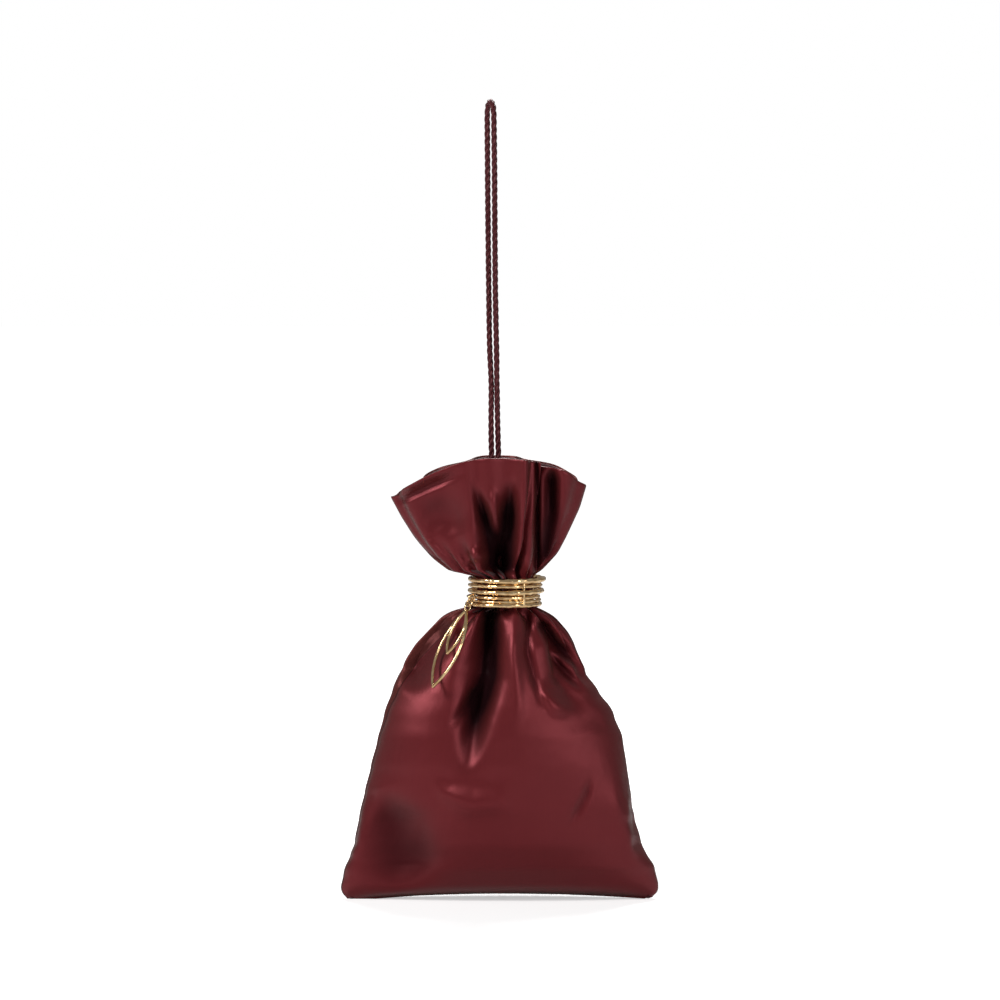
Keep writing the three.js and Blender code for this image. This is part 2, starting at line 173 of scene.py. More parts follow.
# %% The cord's route
CORD_DIAMETER = 3 * MM
CORD_ROUTE = [
    (6.0, 15.2, -301.5), (6.0, 14.1, -296), (5.9, 11.8, -289), (5.8, 9.2, -282), (5.6, 6.9, -275.5),
    (5.3, 5.8, -268), (4.9, 5.2, -256), (3.4, 4.6, -236), (1.7, 3.7, -214), (0.6, 2.6, -193),
    (0.3, 2.0, -174), (0.4, 1.6, -153.5), (-0.4, 2.0, -135), (-0.9, 3.2, -105), (-1.3, 4.4, -70),
    (-1.6, 5.4, -35), (-1.75, 5.74, -12), (-1.75, 5.74, -4.5), (-1.24, 4.06, -0.26), (0, 0, 1.5),
    (1.24, -4.06, -0.26), (1.75, -5.74, -4.5), (1.9, -5.74, -12), (2.2, -5.3, -35), (2.4, -4.2, -70),
    (2.7, -2.6, -105), (3.3, -0.8, -135), (3.5, 0.4, -153.5), (3.9, 1.2, -174), (4.4, 2.2, -193),
    (5.6, 3.4, -214), (7.2, 4.4, -236), (8.8, 5.2, -256), (9.3, 5.8, -268), (9.6, 6.9, -275.5),
    (9.8, 9.2, -282), (9.9, 11.8, -289), (10.0, 14.1, -296), (10.0, 15.2, -301.5),
]
CORD_STEP = 0.65 * MM
SPAN_STEPS = 40


def smooth_route(points, step):
    """Points a step apart on a centripetal Catmull-Rom curve through the given points."""
    knots = np.array(points, float) * MM
    ends = [2 * knots[0] - knots[1], *knots, 2 * knots[-1] - knots[-2]]
    fine = []
    for a, b, c, d in zip(ends, ends[1:], ends[2:], ends[3:]):
        ta = 0.0
        tb = ta + math.sqrt(np.linalg.norm(b - a))
        tc = tb + math.sqrt(np.linalg.norm(c - b))
        td = tc + math.sqrt(np.linalg.norm(d - c))
        for t in np.linspace(tb, tc, SPAN_STEPS, endpoint=False):
            ab = mix(a, b, (t - ta) / (tb - ta))
            bc = mix(b, c, (t - tb) / (tc - tb))
            cd = mix(c, d, (t - tc) / (td - tc))
            abc = mix(ab, bc, (t - ta) / (tc - ta))
            bcd = mix(bc, cd, (t - tb) / (td - tb))
            fine.append(mix(abc, bcd, (t - tb) / (tc - tb)))
    fine = np.array([*fine, knots[-1]])
    run = np.concatenate([[0], np.cumsum(np.linalg.norm(np.diff(fine, axis=0), axis=1))])
    stops = np.linspace(0, run[-1], max(2, round(run[-1] / step)) + 1)
    return np.stack([np.interp(stops, run, fine[:, axis]) for axis in range(3)], 1), run[-1]


cord_line, CORD_LENGTH = smooth_route(CORD_ROUTE, CORD_STEP)
print("cord length", round(CORD_LENGTH, 4), "m in", len(cord_line), "steps")

# %% [markdown]
# A twisted cord could be one tube with a bump map, but its edge would then be straight. Here each ply
# is wound as a helix round the route, a third of a turn apart from the next, so that the edge swells
# where a ply comes round. The plies press into one another a little, as soft yarn does.

# %% Three plies wound round the route
PLIES = 3
PLY_DIAMETER = 1.78 * MM
FULLNESS = 1.1
TWIST_PITCH = 12.3 * MM
PLY_SIDES = 8
PLY_CREASE = 60
FIRST_ACROSS = (0, 1, 0.2)


def carried_frames(line):
    """Two directions across the line at each point, carried along it without turning round it."""
    along = np.gradient(line, axis=0)
    along /= np.linalg.norm(along, axis=1)[:, None]
    across = [np.cross(along[0], FIRST_ACROSS)]
    for direction in along[1:]:
        kept = across[-1] - direction * np.dot(across[-1], direction)
        across.append(kept / np.linalg.norm(kept))
    across = np.array(across)
    across[0] /= np.linalg.norm(across[0])
    return across, np.cross(along, across)


def tube_points(line, side, up, thickness, sides):
    """A ring of points round each point of the line."""
    around = np.linspace(0, TAU, sides, endpoint=False)
    ring = np.cos(around)[None, :, None] * side[:, None] + np.sin(around)[None, :, None] * up[:, None]
    return line[:, None] + ring * thickness / 2


def tube_faces(rows, sides, start):
    """Faces along a tube whose points begin at the given number, with a cap on each end."""
    faces = []
    for i in range(rows - 1):
        for j in range(sides):
            k = (j + 1) % sides
            row, below = start + i * sides, start + (i + 1) * sides
            faces.append((row + j, row + k, below + k, below + j))
    faces.append(tuple(start + j for j in reversed(range(sides))))
    faces.append(tuple(start + (rows - 1) * sides + j for j in range(sides)))
    return faces


def twisted_cord():
    side, up = carried_frames(cord_line)
    points, faces, runs = [], [], []
    run = np.linspace(0, CORD_LENGTH, len(cord_line))
    reach = (CORD_DIAMETER * FULLNESS - PLY_DIAMETER) / 2
    for ply in range(PLIES):
        turn = (run / TWIST_PITCH + ply / PLIES) * TAU
        out = np.cos(turn)[:, None] * side + np.sin(turn)[:, None] * up
        middle = cord_line + out * reach
        ply_side, ply_up = carried_frames(middle)
        faces += tube_faces(len(middle), PLY_SIDES, len(points) * PLY_SIDES)
        ring = tube_points(middle, ply_side, ply_up, PLY_DIAMETER, PLY_SIDES)
        points += list(ring)
        runs.append(run)
    obj = mesh_object("twisted_cord", np.concatenate(points), faces)
    ply_map = obj.data.uv_layers.new(name="ply")
    along = np.concatenate([np.repeat(r, PLY_SIDES) for r in runs])
    around = np.tile(np.arange(PLY_SIDES) / PLY_SIDES, len(cord_line) * PLIES)
    for loop in obj.data.loops:
        ply_map.data[loop.index].uv = (around[loop.vertex_index], along[loop.vertex_index])
    return smooth(obj, PLY_CREASE)


cord = twisted_cord()
print("cord triangles", triangles(cord))

# %% [markdown]
# ## The bag
# The bag is one cut of satin, sewn up the sides and along the base, with its top left open. The cuff
# gathers it, so above the cuff the same cloth opens again as a frill. Here the cloth starts as rows
# of points round the bag. Every row has the cloth's full width in it, laid in pleats wherever the bag
# is narrower than the cloth. A cloth simulation then lets it relax, with the flat cut as its rest
# shape, so the pleats run out into the folds that real satin makes.

# %% The cut of the cloth and the bag's outline
CLOTH_WIDTH = 182
CLOTH_LENGTH = 269
CUFF_FROM, CUFF_TO = 68, 84
COLUMNS, ROWS = 128, 92
CUFF_TOP, CUFF_FOOT, BASE_LEVEL = -259.0, -275.3, -438.8
FRILL_HEIGHT, LEFT_TIP_HEIGHT, RIGHT_TIP_HEIGHT = 66, 43.5, 50
NECK_RADIUS, NECK_SHIFT = 17.2, 8
# how the rim falls away towards its left and right tips: the higher, the later it falls
LEFT_FALL, RIGHT_FALL = 1.75, 3.0
# the sides grow sharper below the neck, by so much over so many mm of cloth
PINCH, PINCH_RUN = 0.35, 40
# the middle of the base rides up a little, from this share of the body's height on
BASE_BOW, BOW_FROM = 1.8, 0.8

# share of the height, half width, half depth, shift to the right
BODY_OUTLINE = np.array([
    (0.00, 17.2, 17.2, 8.0), (0.010, 25.5, 18.0, 4.4), (0.035, 33.0, 18.8, 4.2), (0.085, 39.9, 20.5, 4.1),
    (0.141, 44.7, 22.8, 2.3), (0.225, 51.0, 26.0, 1.5), (0.333, 60.5, 29.5, 4.5), (0.426, 65.8, 31.2, 5.5),
    (0.525, 69.1, 31.8, 4.6), (0.672, 73.7, 30.8, 3.3), (0.798, 78.8, 27.5, 4.3), (0.88, 85.2, 22.5, 5.2),
    (0.952, 87.8, 15.0, 5.1), (0.98, 87.0, 9.0, 5.0), (1.00, 83.5, 0.6, 4.7),
])
FRILL_OUTLINE = np.array([
    (0.01, 17.2, 17.2, 8.0), (0.05, 26.4, 18.5, 2.8), (0.25, 36.5, 20.0, 1.9), (0.50, 44.0, 21.0, 0.4),
    (0.75, 50.4, 22.0, -0.3), (1.00, 55.2, 22.8, -1.4),
])
# how much of the widening and deepening the cloth follows halfway between a side and the middle
WIDTH_SLOPE, DEPTH_SLOPE = 0.5, 0.7


def outline_at(table, share):
    """Half width, half depth and shift at a share of the height."""
    return [np.interp(share, table[:, 0], table[:, column]) for column in (1, 2, 3)]


def body_runs():
    """How far down the cloth each station of the body lies, as the cloth follows the outline."""
    levels = mix(CUFF_FOOT, BASE_LEVEL, BODY_OUTLINE[:, 0])
    falls, widths, depths = np.diff(levels), np.diff(BODY_OUTLINE[:, 1]), np.diff(BODY_OUTLINE[:, 2])
    slopes = np.sqrt(falls**2 + (widths * WIDTH_SLOPE) ** 2 + (depths * DEPTH_SLOPE) ** 2)
    runs = np.concatenate([[0], np.cumsum(slopes)])
    return mix(CUFF_TO, CLOTH_LENGTH, runs / runs[-1])


BODY_RUNS = body_runs()

# %% [markdown]
# The gathers start evenly round the neck. Below it most of them die out in the shoulder, and a few run
# on as long folds. Above it they merge into the broad folds of the frill. Angles go round from the
# right side seam by the back, so the front is at 270 degrees.

# %% Where the folds lie
# neck angle, share of the body that it reaches, its width and angle there, then the same at the rim:
# weight, width and angle
FOLDS = np.array([
    (191, 0.26, 12, 196, 0.30, 9, 196), (214, 0.12, 12, 214, 0.05, 9, 222),
    (236, 0.20, 12, 232, 0.10, 9, 240), (259, 0.66, 10, 256, 0.12, 5, 263),
    (277, 0.06, 10, 277, 0.12, 6.5, 280), (304, 0.15, 7, 300, 0.50, 2.4, 298.5),
    (328, 0.42, 8, 316, 1.00, 4.6, 310), (349, 0.30, 9, 338, 0.15, 8, 338),
    (11, 0.26, 12, 15, 0.30, 9, 12), (34, 0.12, 12, 36, 0.05, 9, 36),
    (56, 0.50, 12, 60, 0.80, 9, 62), (79, 0.10, 12, 82, 0.10, 9, 84),
    (101, 0.36, 12, 100, 1.00, 9, 106), (124, 0.12, 12, 124, 0.05, 9, 128),
    (146, 0.44, 12, 140, 0.80, 8, 144), (169, 0.18, 12, 166, 0.20, 9, 166),
])
NECK_FOLD_WIDTH = 6.5
BACK_OF_NECK_EASE = 0.36
# how soon the folds change from their neck values to their values at the rim and in the body
RIM_CHANGE, RIM_TURN = 2.6, 2.2
BODY_CHANGE, BODY_TURN, BODY_FADE = 3.5, 4, 1.2
FINE = 1440
ROUND = math.pi + np.linspace(0, TAU, FINE + 1)


def turn_towards(a, b, share):
    """An angle on the shorter way from a to b, in degrees."""
    return a + ((b - a + 180) % 360 - 180) * share


def fold_depths(run):
    """How deep the cloth is folded in at each angle of the fine round, 1 at a full valley."""
    degrees = np.degrees(ROUND) % 360
    depths = np.zeros_like(degrees)
    for neck, reach, width, angle, rim_weight, rim_width, rim_angle in FOLDS:
        neck_weight = 1 - BACK_OF_NECK_EASE * max(0, math.sin(math.radians(neck)))
        if run < CUFF_FROM:
            rise = (CUFF_FROM - run) / CUFF_FROM
            weight = mix(neck_weight, rim_weight, min(1, rise * RIM_CHANGE))
            spread = mix(NECK_FOLD_WIDTH, rim_width, min(1, rise * RIM_TURN))
            centre = turn_towards(neck, rim_angle, min(1, rise * RIM_TURN))
        elif run < CUFF_TO:
            weight, spread, centre = neck_weight, NECK_FOLD_WIDTH, neck
        else:
            drop = (run - CUFF_TO) / (CLOTH_LENGTH - CUFF_TO)
            weight = neck_weight * max(0, 1 - drop / reach) ** BODY_FADE
            spread = mix(NECK_FOLD_WIDTH, width, min(1, drop * BODY_CHANGE))
            centre = turn_towards(neck, angle, min(1, drop * BODY_TURN))
        away = (degrees - centre + 180) % 360 - 180
        depths += weight * np.exp(-((away / spread) ** 2))
    return depths


# %% [markdown]
# A row of real cloth can't stretch. So in each row the folds are made just as deep as it takes to lay
# the cloth's full width round the bag, and the depth is found by halving the range again and again.

# %% Lay the rows of cloth
HALVINGS = 24
# folds take at most this share of the half width or depth, and none where the bag is nearly flat
DEEPEST, FLAT_BELOW = 0.62, 3
# what the folds leave of the half width and depth, in mm, and lower down as a share of the depth
LEAST_WIDTH, LEAST_DEPTH, LEAST_SHARE, SHARE_FROM = 2, 0.3, 0.3, 60


def row_of_cloth(run):
    """One row of points round the bag, spaced evenly along the cloth on each side."""
    cosine, sine = np.cos(ROUND), np.sin(ROUND)
    pinch = 1.0
    if run < CUFF_FROM:
        rise = (CUFF_FROM - run) / CUFF_FROM
        width, depth, shift = outline_at(FRILL_OUTLINE, rise)
        tip = np.where(cosine < 0, LEFT_TIP_HEIGHT, RIGHT_TIP_HEIGHT)
        fall = np.abs(cosine) ** np.where(cosine < 0, LEFT_FALL, RIGHT_FALL)
        level = CUFF_TOP + mix(FRILL_HEIGHT, tip, fall) * rise
    elif run < CUFF_TO:
        width, depth, shift = NECK_RADIUS, NECK_RADIUS, NECK_SHIFT
        level = np.full_like(ROUND, mix(CUFF_TOP, CUFF_FOOT, (run - CUFF_FROM) / (CUFF_TO - CUFF_FROM)))
    else:
        share = np.interp(run, BODY_RUNS, BODY_OUTLINE[:, 0])
        width, depth, shift = outline_at(BODY_OUTLINE, share)
        pinch = 1 + PINCH * min(1, (run - CUFF_TO) / PINCH_RUN)
        bow = BASE_BOW * max(0, (share - BOW_FROM) / (1 - BOW_FROM))
        level = mix(CUFF_FOOT, BASE_LEVEL, share) + bow * sine**2
    depths = fold_depths(run)
    shallowest = depth * LEAST_SHARE if run > CUFF_TO + SHARE_FROM else LEAST_DEPTH

    def laid(fold):
        x = shift + np.maximum(width - fold * depths, LEAST_WIDTH) * cosine
        y = np.maximum(depth - fold * depths, shallowest) * np.sign(sine) * np.abs(sine) ** pinch
        return x, y, float(np.sum(np.hypot(np.diff(x), np.diff(y))))

    low, high = 0, min(width, depth) * DEEPEST if depth > FLAT_BELOW else 0
    if laid(high)[2] > 2 * CLOTH_WIDTH:
        for _ in range(HALVINGS):
            middle = (low + high) / 2
            if laid(middle)[2] > 2 * CLOTH_WIDTH:
                high = middle
            else:
                low = middle
    x, y, _ = laid(high)
    halves = []
    for a, b in ((0, FINE // 2), (FINE // 2, FINE)):
        line = np.stack([x, y, level], 1)[a:b + 1]
        steps = np.hypot(np.diff(line[:, 0]), np.diff(line[:, 1]))
        length = np.concatenate([[0], np.cumsum(steps)])
        stops = np.linspace(0, length[-1], COLUMNS // 2 + 1)[:-1]
        halves.append(np.stack([np.interp(stops, length, line[:, axis]) for axis in range(3)], 1))
    return np.concatenate(halves)


RUNS = np.linspace(0, CLOTH_LENGTH, ROWS + 1)
start_shape = np.array([row_of_cloth(run) for run in RUNS]) * MM
print("cloth starts as", start_shape.shape[0], "rows of", start_shape.shape[1], "points")

# %% [markdown]
# The rows become one mesh, and its base is closed where the real bag is sewn. Each point also knows its
# place in the flat cut, which tells the simulation how long the cloth is between any two points.

# %% Sew the rows into one bag
def bag_faces(first, last, sewn):
    """Faces between two rows of the cloth, and the seam along the base where it is sewn."""
    faces = []
    for i in range(first, last):
        for j in range(COLUMNS):
            k = (j + 1) % COLUMNS
            row, below = (i - first) * COLUMNS, (i - first + 1) * COLUMNS
            faces.append((row + j, below + j, below + k, row + k))
    if sewn:
        base = (last - first) * COLUMNS
        for j in range(COLUMNS // 2):
            corners = [base + j, base + j + 1, base + (COLUMNS - j - 1) % COLUMNS]
            corners.append(base + (COLUMNS - j) % COLUMNS)
            faces.append(tuple(dict.fromkeys(corners)))
    return faces


def flat_place(i, j):
    """Where a point of the cloth lies in the flat cut, in metres. The back lies behind the front."""
    half = COLUMNS // 2
    front = j <= half
    across = (j if front else COLUMNS - j) / half * CLOTH_WIDTH
    behind = 0 if j in (0, half) else (-1.0 if front else 1.0)
    return Vector((across, behind, -RUNS[i])) * MM


# %% [markdown]
# Folds could all be sculpted, but a short cloth simulation gives the slack between them for free. The
# rows inside the cuff are held, and a light pressure below it stands for what the bag holds.

# %% Let the satin relax
SIM_FRAMES = 40
SIM_SETTINGS = {
    "quality": 6, "mass": 0.15, "air_damping": 2, "pin_stiffness": 5,
    "tension_stiffness": 20, "compression_stiffness": 20, "shear_stiffness": 8,
    "bending_model": "ANGULAR", "bending_stiffness": 1.0,
    "tension_damping": 8, "compression_damping": 8, "shear_damping": 6, "bending_damping": 1,
}
FILLED_OUT, FILL_RUN = 2.0, 30


def relaxed(points):
    """The cloth after a short simulation, held in the cuff and lightly filled below it."""
    obj = mesh_object("cloth", points.reshape(-1, 3), bag_faces(0, ROWS, True))
    obj.shape_key_add(name="Basis")
    cut = obj.shape_key_add(name="cut")
    for i in range(ROWS + 1):
        for j in range(COLUMNS):
            cut.data[i * COLUMNS + j].co = flat_place(i, j)
    held = obj.vertex_groups.new(name="held")
    filled = obj.vertex_groups.new(name="filled")
    for i, run in enumerate(RUNS):
        row = list(range(i * COLUMNS, (i + 1) * COLUMNS))
        if CUFF_FROM - 1 <= run <= CUFF_TO + 1:
            held.add(row, 1.0, "REPLACE")
        if run > CUFF_TO:
            filled.add(row, min(1, (run - CUFF_TO) / FILL_RUN), "REPLACE")
    modifier = obj.modifiers.new("Cloth", "CLOTH")
    for name, value in SIM_SETTINGS.items():
        setattr(modifier.settings, name, value)
    modifier.settings.vertex_group_mass = "held"
    modifier.settings.rest_shape_key = cut
    modifier.settings.use_pressure = True
    modifier.settings.uniform_pressure_force = FILLED_OUT
    modifier.settings.vertex_group_pressure = "filled"
    modifier.settings.effector_weights.gravity = 0
    modifier.collision_settings.use_collision = False
    modifier.point_cache.frame_end = SIM_FRAMES
    scene = bpy.context.scene
    for number in range(1, SIM_FRAMES + 1):
        scene.frame_set(number)
    shown = obj.evaluated_get(bpy.context.evaluated_depsgraph_get())
    out = np.empty(len(shown.data.vertices) * 3)
    shown.data.vertices.foreach_get("co", out)
    bpy.data.objects.remove(obj)
    scene.frame_set(1)
    return out.reshape(points.shape)


cloth = relaxed(start_shape)
print("satin moved at most", round(float(np.abs(cloth - start_shape).max()) / MM, 1), "mm")

# %% [markdown]
# The simulation may swell or pull in the sides a little, and the finer surface made later draws in a
# little more. Each level is moved back, sideways only, to the outline that was measured.

# %% Keep the measured outline
# the sides are measured at this many levels, each from the points this close to it, in mm
OUTLINE_LEVELS, LEVEL_REACH = 44, 2.6
# the first level lies this far below the cuff and counts fully this much lower; the last is above the base
OUTLINE_FROM, OUTLINE_FADE, BASE_MARGIN = 10, 15, 3
DRAWN_IN = 1.6


def keep_outline(points):
    """Each level of the body moved and scaled sideways to the outline that was measured."""
    levels = np.linspace(CUFF_FOOT - OUTLINE_FROM, BASE_LEVEL + BASE_MARGIN, OUTLINE_LEVELS)
    shares = (levels - CUFF_FOOT) / (BASE_LEVEL - CUFF_FOOT)
    flat = points.reshape(-1, 3) / MM
    wanted_half, _, wanted_middle = outline_at(BODY_OUTLINE, shares)
    wanted_half = wanted_half + DRAWN_IN
    left, right = [], []
    for level in levels:
        near = flat[np.abs(flat[:, 2] - level) < LEVEL_REACH][:, 0]
        left.append(near.min())
        right.append(near.max())
    left, right = np.array(left), np.array(right)
    body = flat[:, 2] < levels[0]
    fade = np.clip((levels[0] - flat[:, 2]) / OUTLINE_FADE, 0, 1)
    at = -flat[:, 2]
    middle = np.interp(at, -levels, (left + right) / 2)
    half = np.interp(at, -levels, (right - left) / 2)
    moved = np.interp(at, -levels, wanted_middle)
    moved += (flat[:, 0] - middle) * np.interp(at, -levels, wanted_half) / half
    flat[:, 0] = np.where(body, mix(flat[:, 0], moved, fade), flat[:, 0])
    return (flat * MM).reshape(points.shape)


cloth = keep_outline(cloth)
print("base from", round(float(cloth[-1, :, 0].min()) / MM, 1), "to",
      round(float(cloth[-1, :, 0].max()) / MM, 1), "mm")

# %% [markdown]
# The side seams join the front and the back cut. On the left the seam comes round to the front at the
# shoulder, because the gathers turn the cloth there. Each point gets its distance from the nearer seam,
# which presses the groove into the cloth here and draws the stitched line in the finish later.

# %% Press in the side seams
SEAM_DEPTH = 1.1
SEAM_SPREAD = 2.2
# run down the cloth, and how far towards the front each side seam lies there, left and right
SEAM_PATH = np.array([
    (0, 0, 0), (50, 2, 2), (66, 14, 4), (84, 29, 4), (93, 36, 3), (105, 33, 2), (114, 26, 2), (120, 19, 1),
    (131, 13, 0), (140, 8.5, -1), (150, 6, -2), (165, 3.4, -2), (200, 2.5, -3), (269, 1, 0),
])


def seam_distance(column, run):
    """Distance along the cloth from the nearer side seam, in mm: positive in front, negative behind."""
    left, right = (np.interp(run, SEAM_PATH[:, 0], SEAM_PATH[:, side]) for side in (1, 2))
    place = column * CLOTH_WIDTH / (COLUMNS // 2)
    from_left = (place - left + CLOTH_WIDTH) % (2 * CLOTH_WIDTH) - CLOTH_WIDTH
    from_right = (CLOTH_WIDTH - right - place + CLOTH_WIDTH) % (2 * CLOTH_WIDTH) - CLOTH_WIDTH
    if from_left > 0 and from_right > 0:
        return min(from_left, from_right)
    return -min(abs(from_left), abs(from_right))


def cloth_normals(points):
    """The way out of the cloth at each point, from its neighbours in the rows and columns."""
    across = np.roll(points, -1, 1) - np.roll(points, 1, 1)
    down = np.gradient(points, axis=0)
    normals = np.cross(down, across)
    return normals / np.maximum(np.linalg.norm(normals, axis=2, keepdims=True), 1e-9)


distances = np.array([[seam_distance(j, run) for j in range(COLUMNS)] for run in RUNS])
outward = cloth_normals(cloth)
if np.sum(outward[ROWS // 2, :, 1] * (cloth[ROWS // 2, :, 1])) < 0:
    outward = -outward
cloth -= outward * (SEAM_DEPTH * MM * np.exp(-((distances / SEAM_SPREAD) ** 2)))[..., None]
print("bag from", np.round(cloth.reshape(-1, 3).min(0) / MM, 1), "to",
      np.round(cloth.reshape(-1, 3).max(0) / MM, 1))

# %% [markdown]
# The simulation can't know how a hand last pulled at this pouch. Its own folds are laid on the finer
# surface: each is a crease along a few points, pulled into the bag or standing out of it. How deep a
# point lies is kept on the mesh, so that the satin can be painted darker in the hollows as shade.

# %% The folds laid one by one
# depth into the bag (negative stands out), half width (it widens along the fold), share of the fold
# over which it starts and over which it runs out, then its points: across and level, all in mm
HAND_FOLDS = [
    (12.0, 6.4, 0.05, 0.5, [(0.5, -268), (0.3, -294), (-1.0, -312), (-8.0, -334), (-14, -368)]),
    (3.4, 3.0, 0.2, 0.6, [(-7, -318), (-14, -330), (-23, -342)]),
    (2.6, 9.0, 0.2, 0.35, [(-21, -281), (-34, -298), (-50, -322)]),
    (-3.4, 4.6, 0.3, 0.6, [(13.5, -277), (12.5, -300), (15, -326), (13, -345)]),
    (3.2, 2.4, 0.1, 0.6, [(20, -272), (20.5, -300), (27, -324), (36, -338)]),
    (7.5, 3.2, 0.15, 0.4, [(25.6, -282), (36, -296), (50, -310)]),
    (-3.0, 2.6, 0.3, 0.4, [(32, -282), (42, -294), (54, -305)]),
    (4.6, 2.6, 0.25, 0.5, [(32, -301), (41, -311), (52, -322)]),
    (-3.0, 5.0, 0.4, 0.5, [(26, -318), (36, -328), (45, -334)]),
    (-2.6, 7.5, 0.4, 0.5, [(-34, -366), (-24, -376), (-10, -381), (4, -379), (16, -364)]),
    (5.2, 16.0, 0.4, 0.3, [(-62, -374), (-53, -396), (-46, -432)]),
    (1.2, 7.0, 0.5, 0.4, [(-38, -388), (-37, -404), (-37, -426)]),
    (1.8, 2.0, 0.3, 0.4, [(55.3, -368), (52, -378), (43.2, -394)]),
    (9.0, 4.2, 0.45, 0.1, [(-9.5, -206), (-3, -226), (5.0, -256)]),
    (11.0, 5.6, 0.45, 0.1, [(11.8, -203), (9.5, -226), (6.5, -258)]),
    (-2.4, 3.4, 0.3, 0.4, [(1.2, -208), (2.0, -222), (4.5, -240)]),
    (-3.2, 3.2, 0.4, 0.3, [(-15, -252), (-8, -246), (1, -249)]),
    (-1.8, 3.0, 0.3, 0.3, [(-38, -236), (-27, -247), (-14, -255)]),
    (-3.4, 3.0, 0.2, 0.5, [(-51, -212), (-36, -203.5), (-14, -195)]),
    (2.4, 2.0, 0.1, 0.5, [(-53, -219), (-34, -209.5), (-12, -200)]),
    (2.2, 11.0, 0.5, 0.5, [(-52, -217), (-36, -219), (-22, -226), (-14, -240)]),
    (6.5, 1.4, 0.02, 0.1, [(25.3, -190), (25.5, -222), (25.2, -262)]),
    (-3.6, 5.0, 0.02, 0.2, [(18.5, -190), (19.0, -222), (18.5, -258)]),
    (8.0, 5.0, 0.15, 0.2, [(33.5, -198), (33.0, -225), (28.5, -257)]),
]
# wide swells and dents that only turn the surface, in the same terms
BROAD_DENTS = [
    (7.2, 9.0, 0.3, 0.35, [(-21, -281), (-34, -298), (-50, -322)]),
    (-2.0, 20.0, 0.5, 0.5, [(-34, -322), (-44, -344), (-56, -372)]),
    (3.0, 13.0, 0.4, 0.4, [(-40, -222), (-28, -228), (-13, -236)]),
    (5.0, 20.0, 0.4, 0.4, [(-60, -374), (-50, -398), (-42, -430)]),
]
# the folds fade out over this many mm of depth before the side of the bag
SIDE_FADE = 9
FAR_AWAY = 1e9
# a fold's width at its start and end, at its full depth and where it runs out
START_WIDTH, END_WIDTH, RUN_OUT_WIDTH = 0.65, 1.25, 0.55
# a fold counts as begun a little before its first point, and as ended a little after its last
OVERRUN = 0.02


def fold_pull(across, level, table):
    """How far each point is pulled into the bag by the folds in the table."""
    pull = np.zeros_like(across)
    for depth, spread, head, tail, crease in table:
        crease = np.array(crease, float)
        steps = np.diff(crease, axis=0)
        lengths = np.linalg.norm(steps, axis=1)
        run = np.concatenate([[0], np.cumsum(lengths)]) / lengths.sum()
        nearest = np.full(across.shape, FAR_AWAY)
        place = np.zeros_like(across)
        for start, step, length, a, b in zip(crease, steps, lengths, run, run[1:]):
            share = ((across - start[0]) * step[0] + (level - start[1]) * step[1]) / length**2
            share = np.clip(share, 0, 1)
            away = np.hypot(across - start[0] - share * step[0], level - start[1] - share * step[1])
            place = np.where(away < nearest, mix(a, b, share), place)
            nearest = np.minimum(away, nearest)
        gone, to_go = place + OVERRUN, 1 + OVERRUN - place
        fade = np.clip(np.minimum(gone / head, to_go / tail), 0, 1)
        width = spread * mix(START_WIDTH, END_WIDTH, place) * mix(RUN_OUT_WIDTH, 1, fade)
        pull += depth * fade**2 * (3 - 2 * fade) * np.exp(-((nearest / width) ** 2))
    return pull


def lay_folds(obj, inset):
    """Lays the folds on the front of a piece and keeps how deep each point lies in the narrow ones, for
    the painted shade in the satin's hollows.
    """
    flat = np.empty(len(obj.data.vertices) * 3)
    obj.data.vertices.foreach_get("co", flat)
    flat = flat.reshape(-1, 3) / MM
    front = np.clip((inset - flat[:, 1]) / SIDE_FADE, 0, 1)
    narrow = fold_pull(flat[:, 0], flat[:, 2], HAND_FOLDS) * front
    flat[:, 1] += narrow + fold_pull(flat[:, 0], flat[:, 2], BROAD_DENTS) * front
    # the depth of the narrow folds is kept on the mesh, to paint shade into the satin's hollows
    painted_fold_shade = obj.data.attributes.new(name="painted_fold_shade", type="FLOAT", domain="POINT")
    painted_fold_shade.data.foreach_set("value", narrow)
    obj.data.vertices.foreach_set("co", (flat * MM).reshape(-1))
    obj.data.update()
    return obj


# %% [markdown]
# The satin is stiffened with interlining, so it is nearly a millimetre thick. The lining and the facing
# follow the same cloth a little further in, and stop and start inside the cuff, where nobody sees it.
# Thickness and a finer surface are modifiers, and the listed folds come after them.

# %% Satin, lining and mouth facing
SATIN_THICK, LINING_THICK = 0.9 * MM, 0.5 * MM
LINING_INSET = 1.6 * MM
RIM_DROP = 1.2 * MM


def cloth_piece(name, points, first, last, sewn, thickness, inset):
    """Part of the cloth as a piece with its thickness, its flat cut as UV map and the seam distances."""
    faces = bag_faces(first, last, sewn)
    obj = mesh_object(name, points[first:last + 1].reshape(-1, 3), faces)
    cut = obj.data.uv_layers.new(name="cut")
    seams = obj.data.uv_layers.new(name="seams")
    for face in obj.data.polygons:
        columns = [obj.data.loops[index].vertex_index % COLUMNS for index in face.loop_indices]
        wraps = max(columns) - min(columns) > COLUMNS // 2
        for index, column in zip(face.loop_indices, columns):
            row = first + obj.data.loops[index].vertex_index // COLUMNS
            along = column + (COLUMNS if wraps and column < COLUMNS // 2 else 0)
            place = along * CLOTH_WIDTH / (COLUMNS // 2)
            cut.data[index].uv = (place * MM, -RUNS[row] * MM)
            seams.data[index].uv = (distances[row, column] * MM, -RUNS[row] * MM)
    only(obj)
    solid = obj.modifiers.new("thickness", "SOLIDIFY")
    solid.thickness = thickness
    solid.offset = -1
    solid.use_even_offset = False
    finer = obj.modifiers.new("finer", "SUBSURF")
    finer.levels = finer.render_levels = 1
    apply_modifiers(obj)
    return smooth(lay_folds(obj, inset))


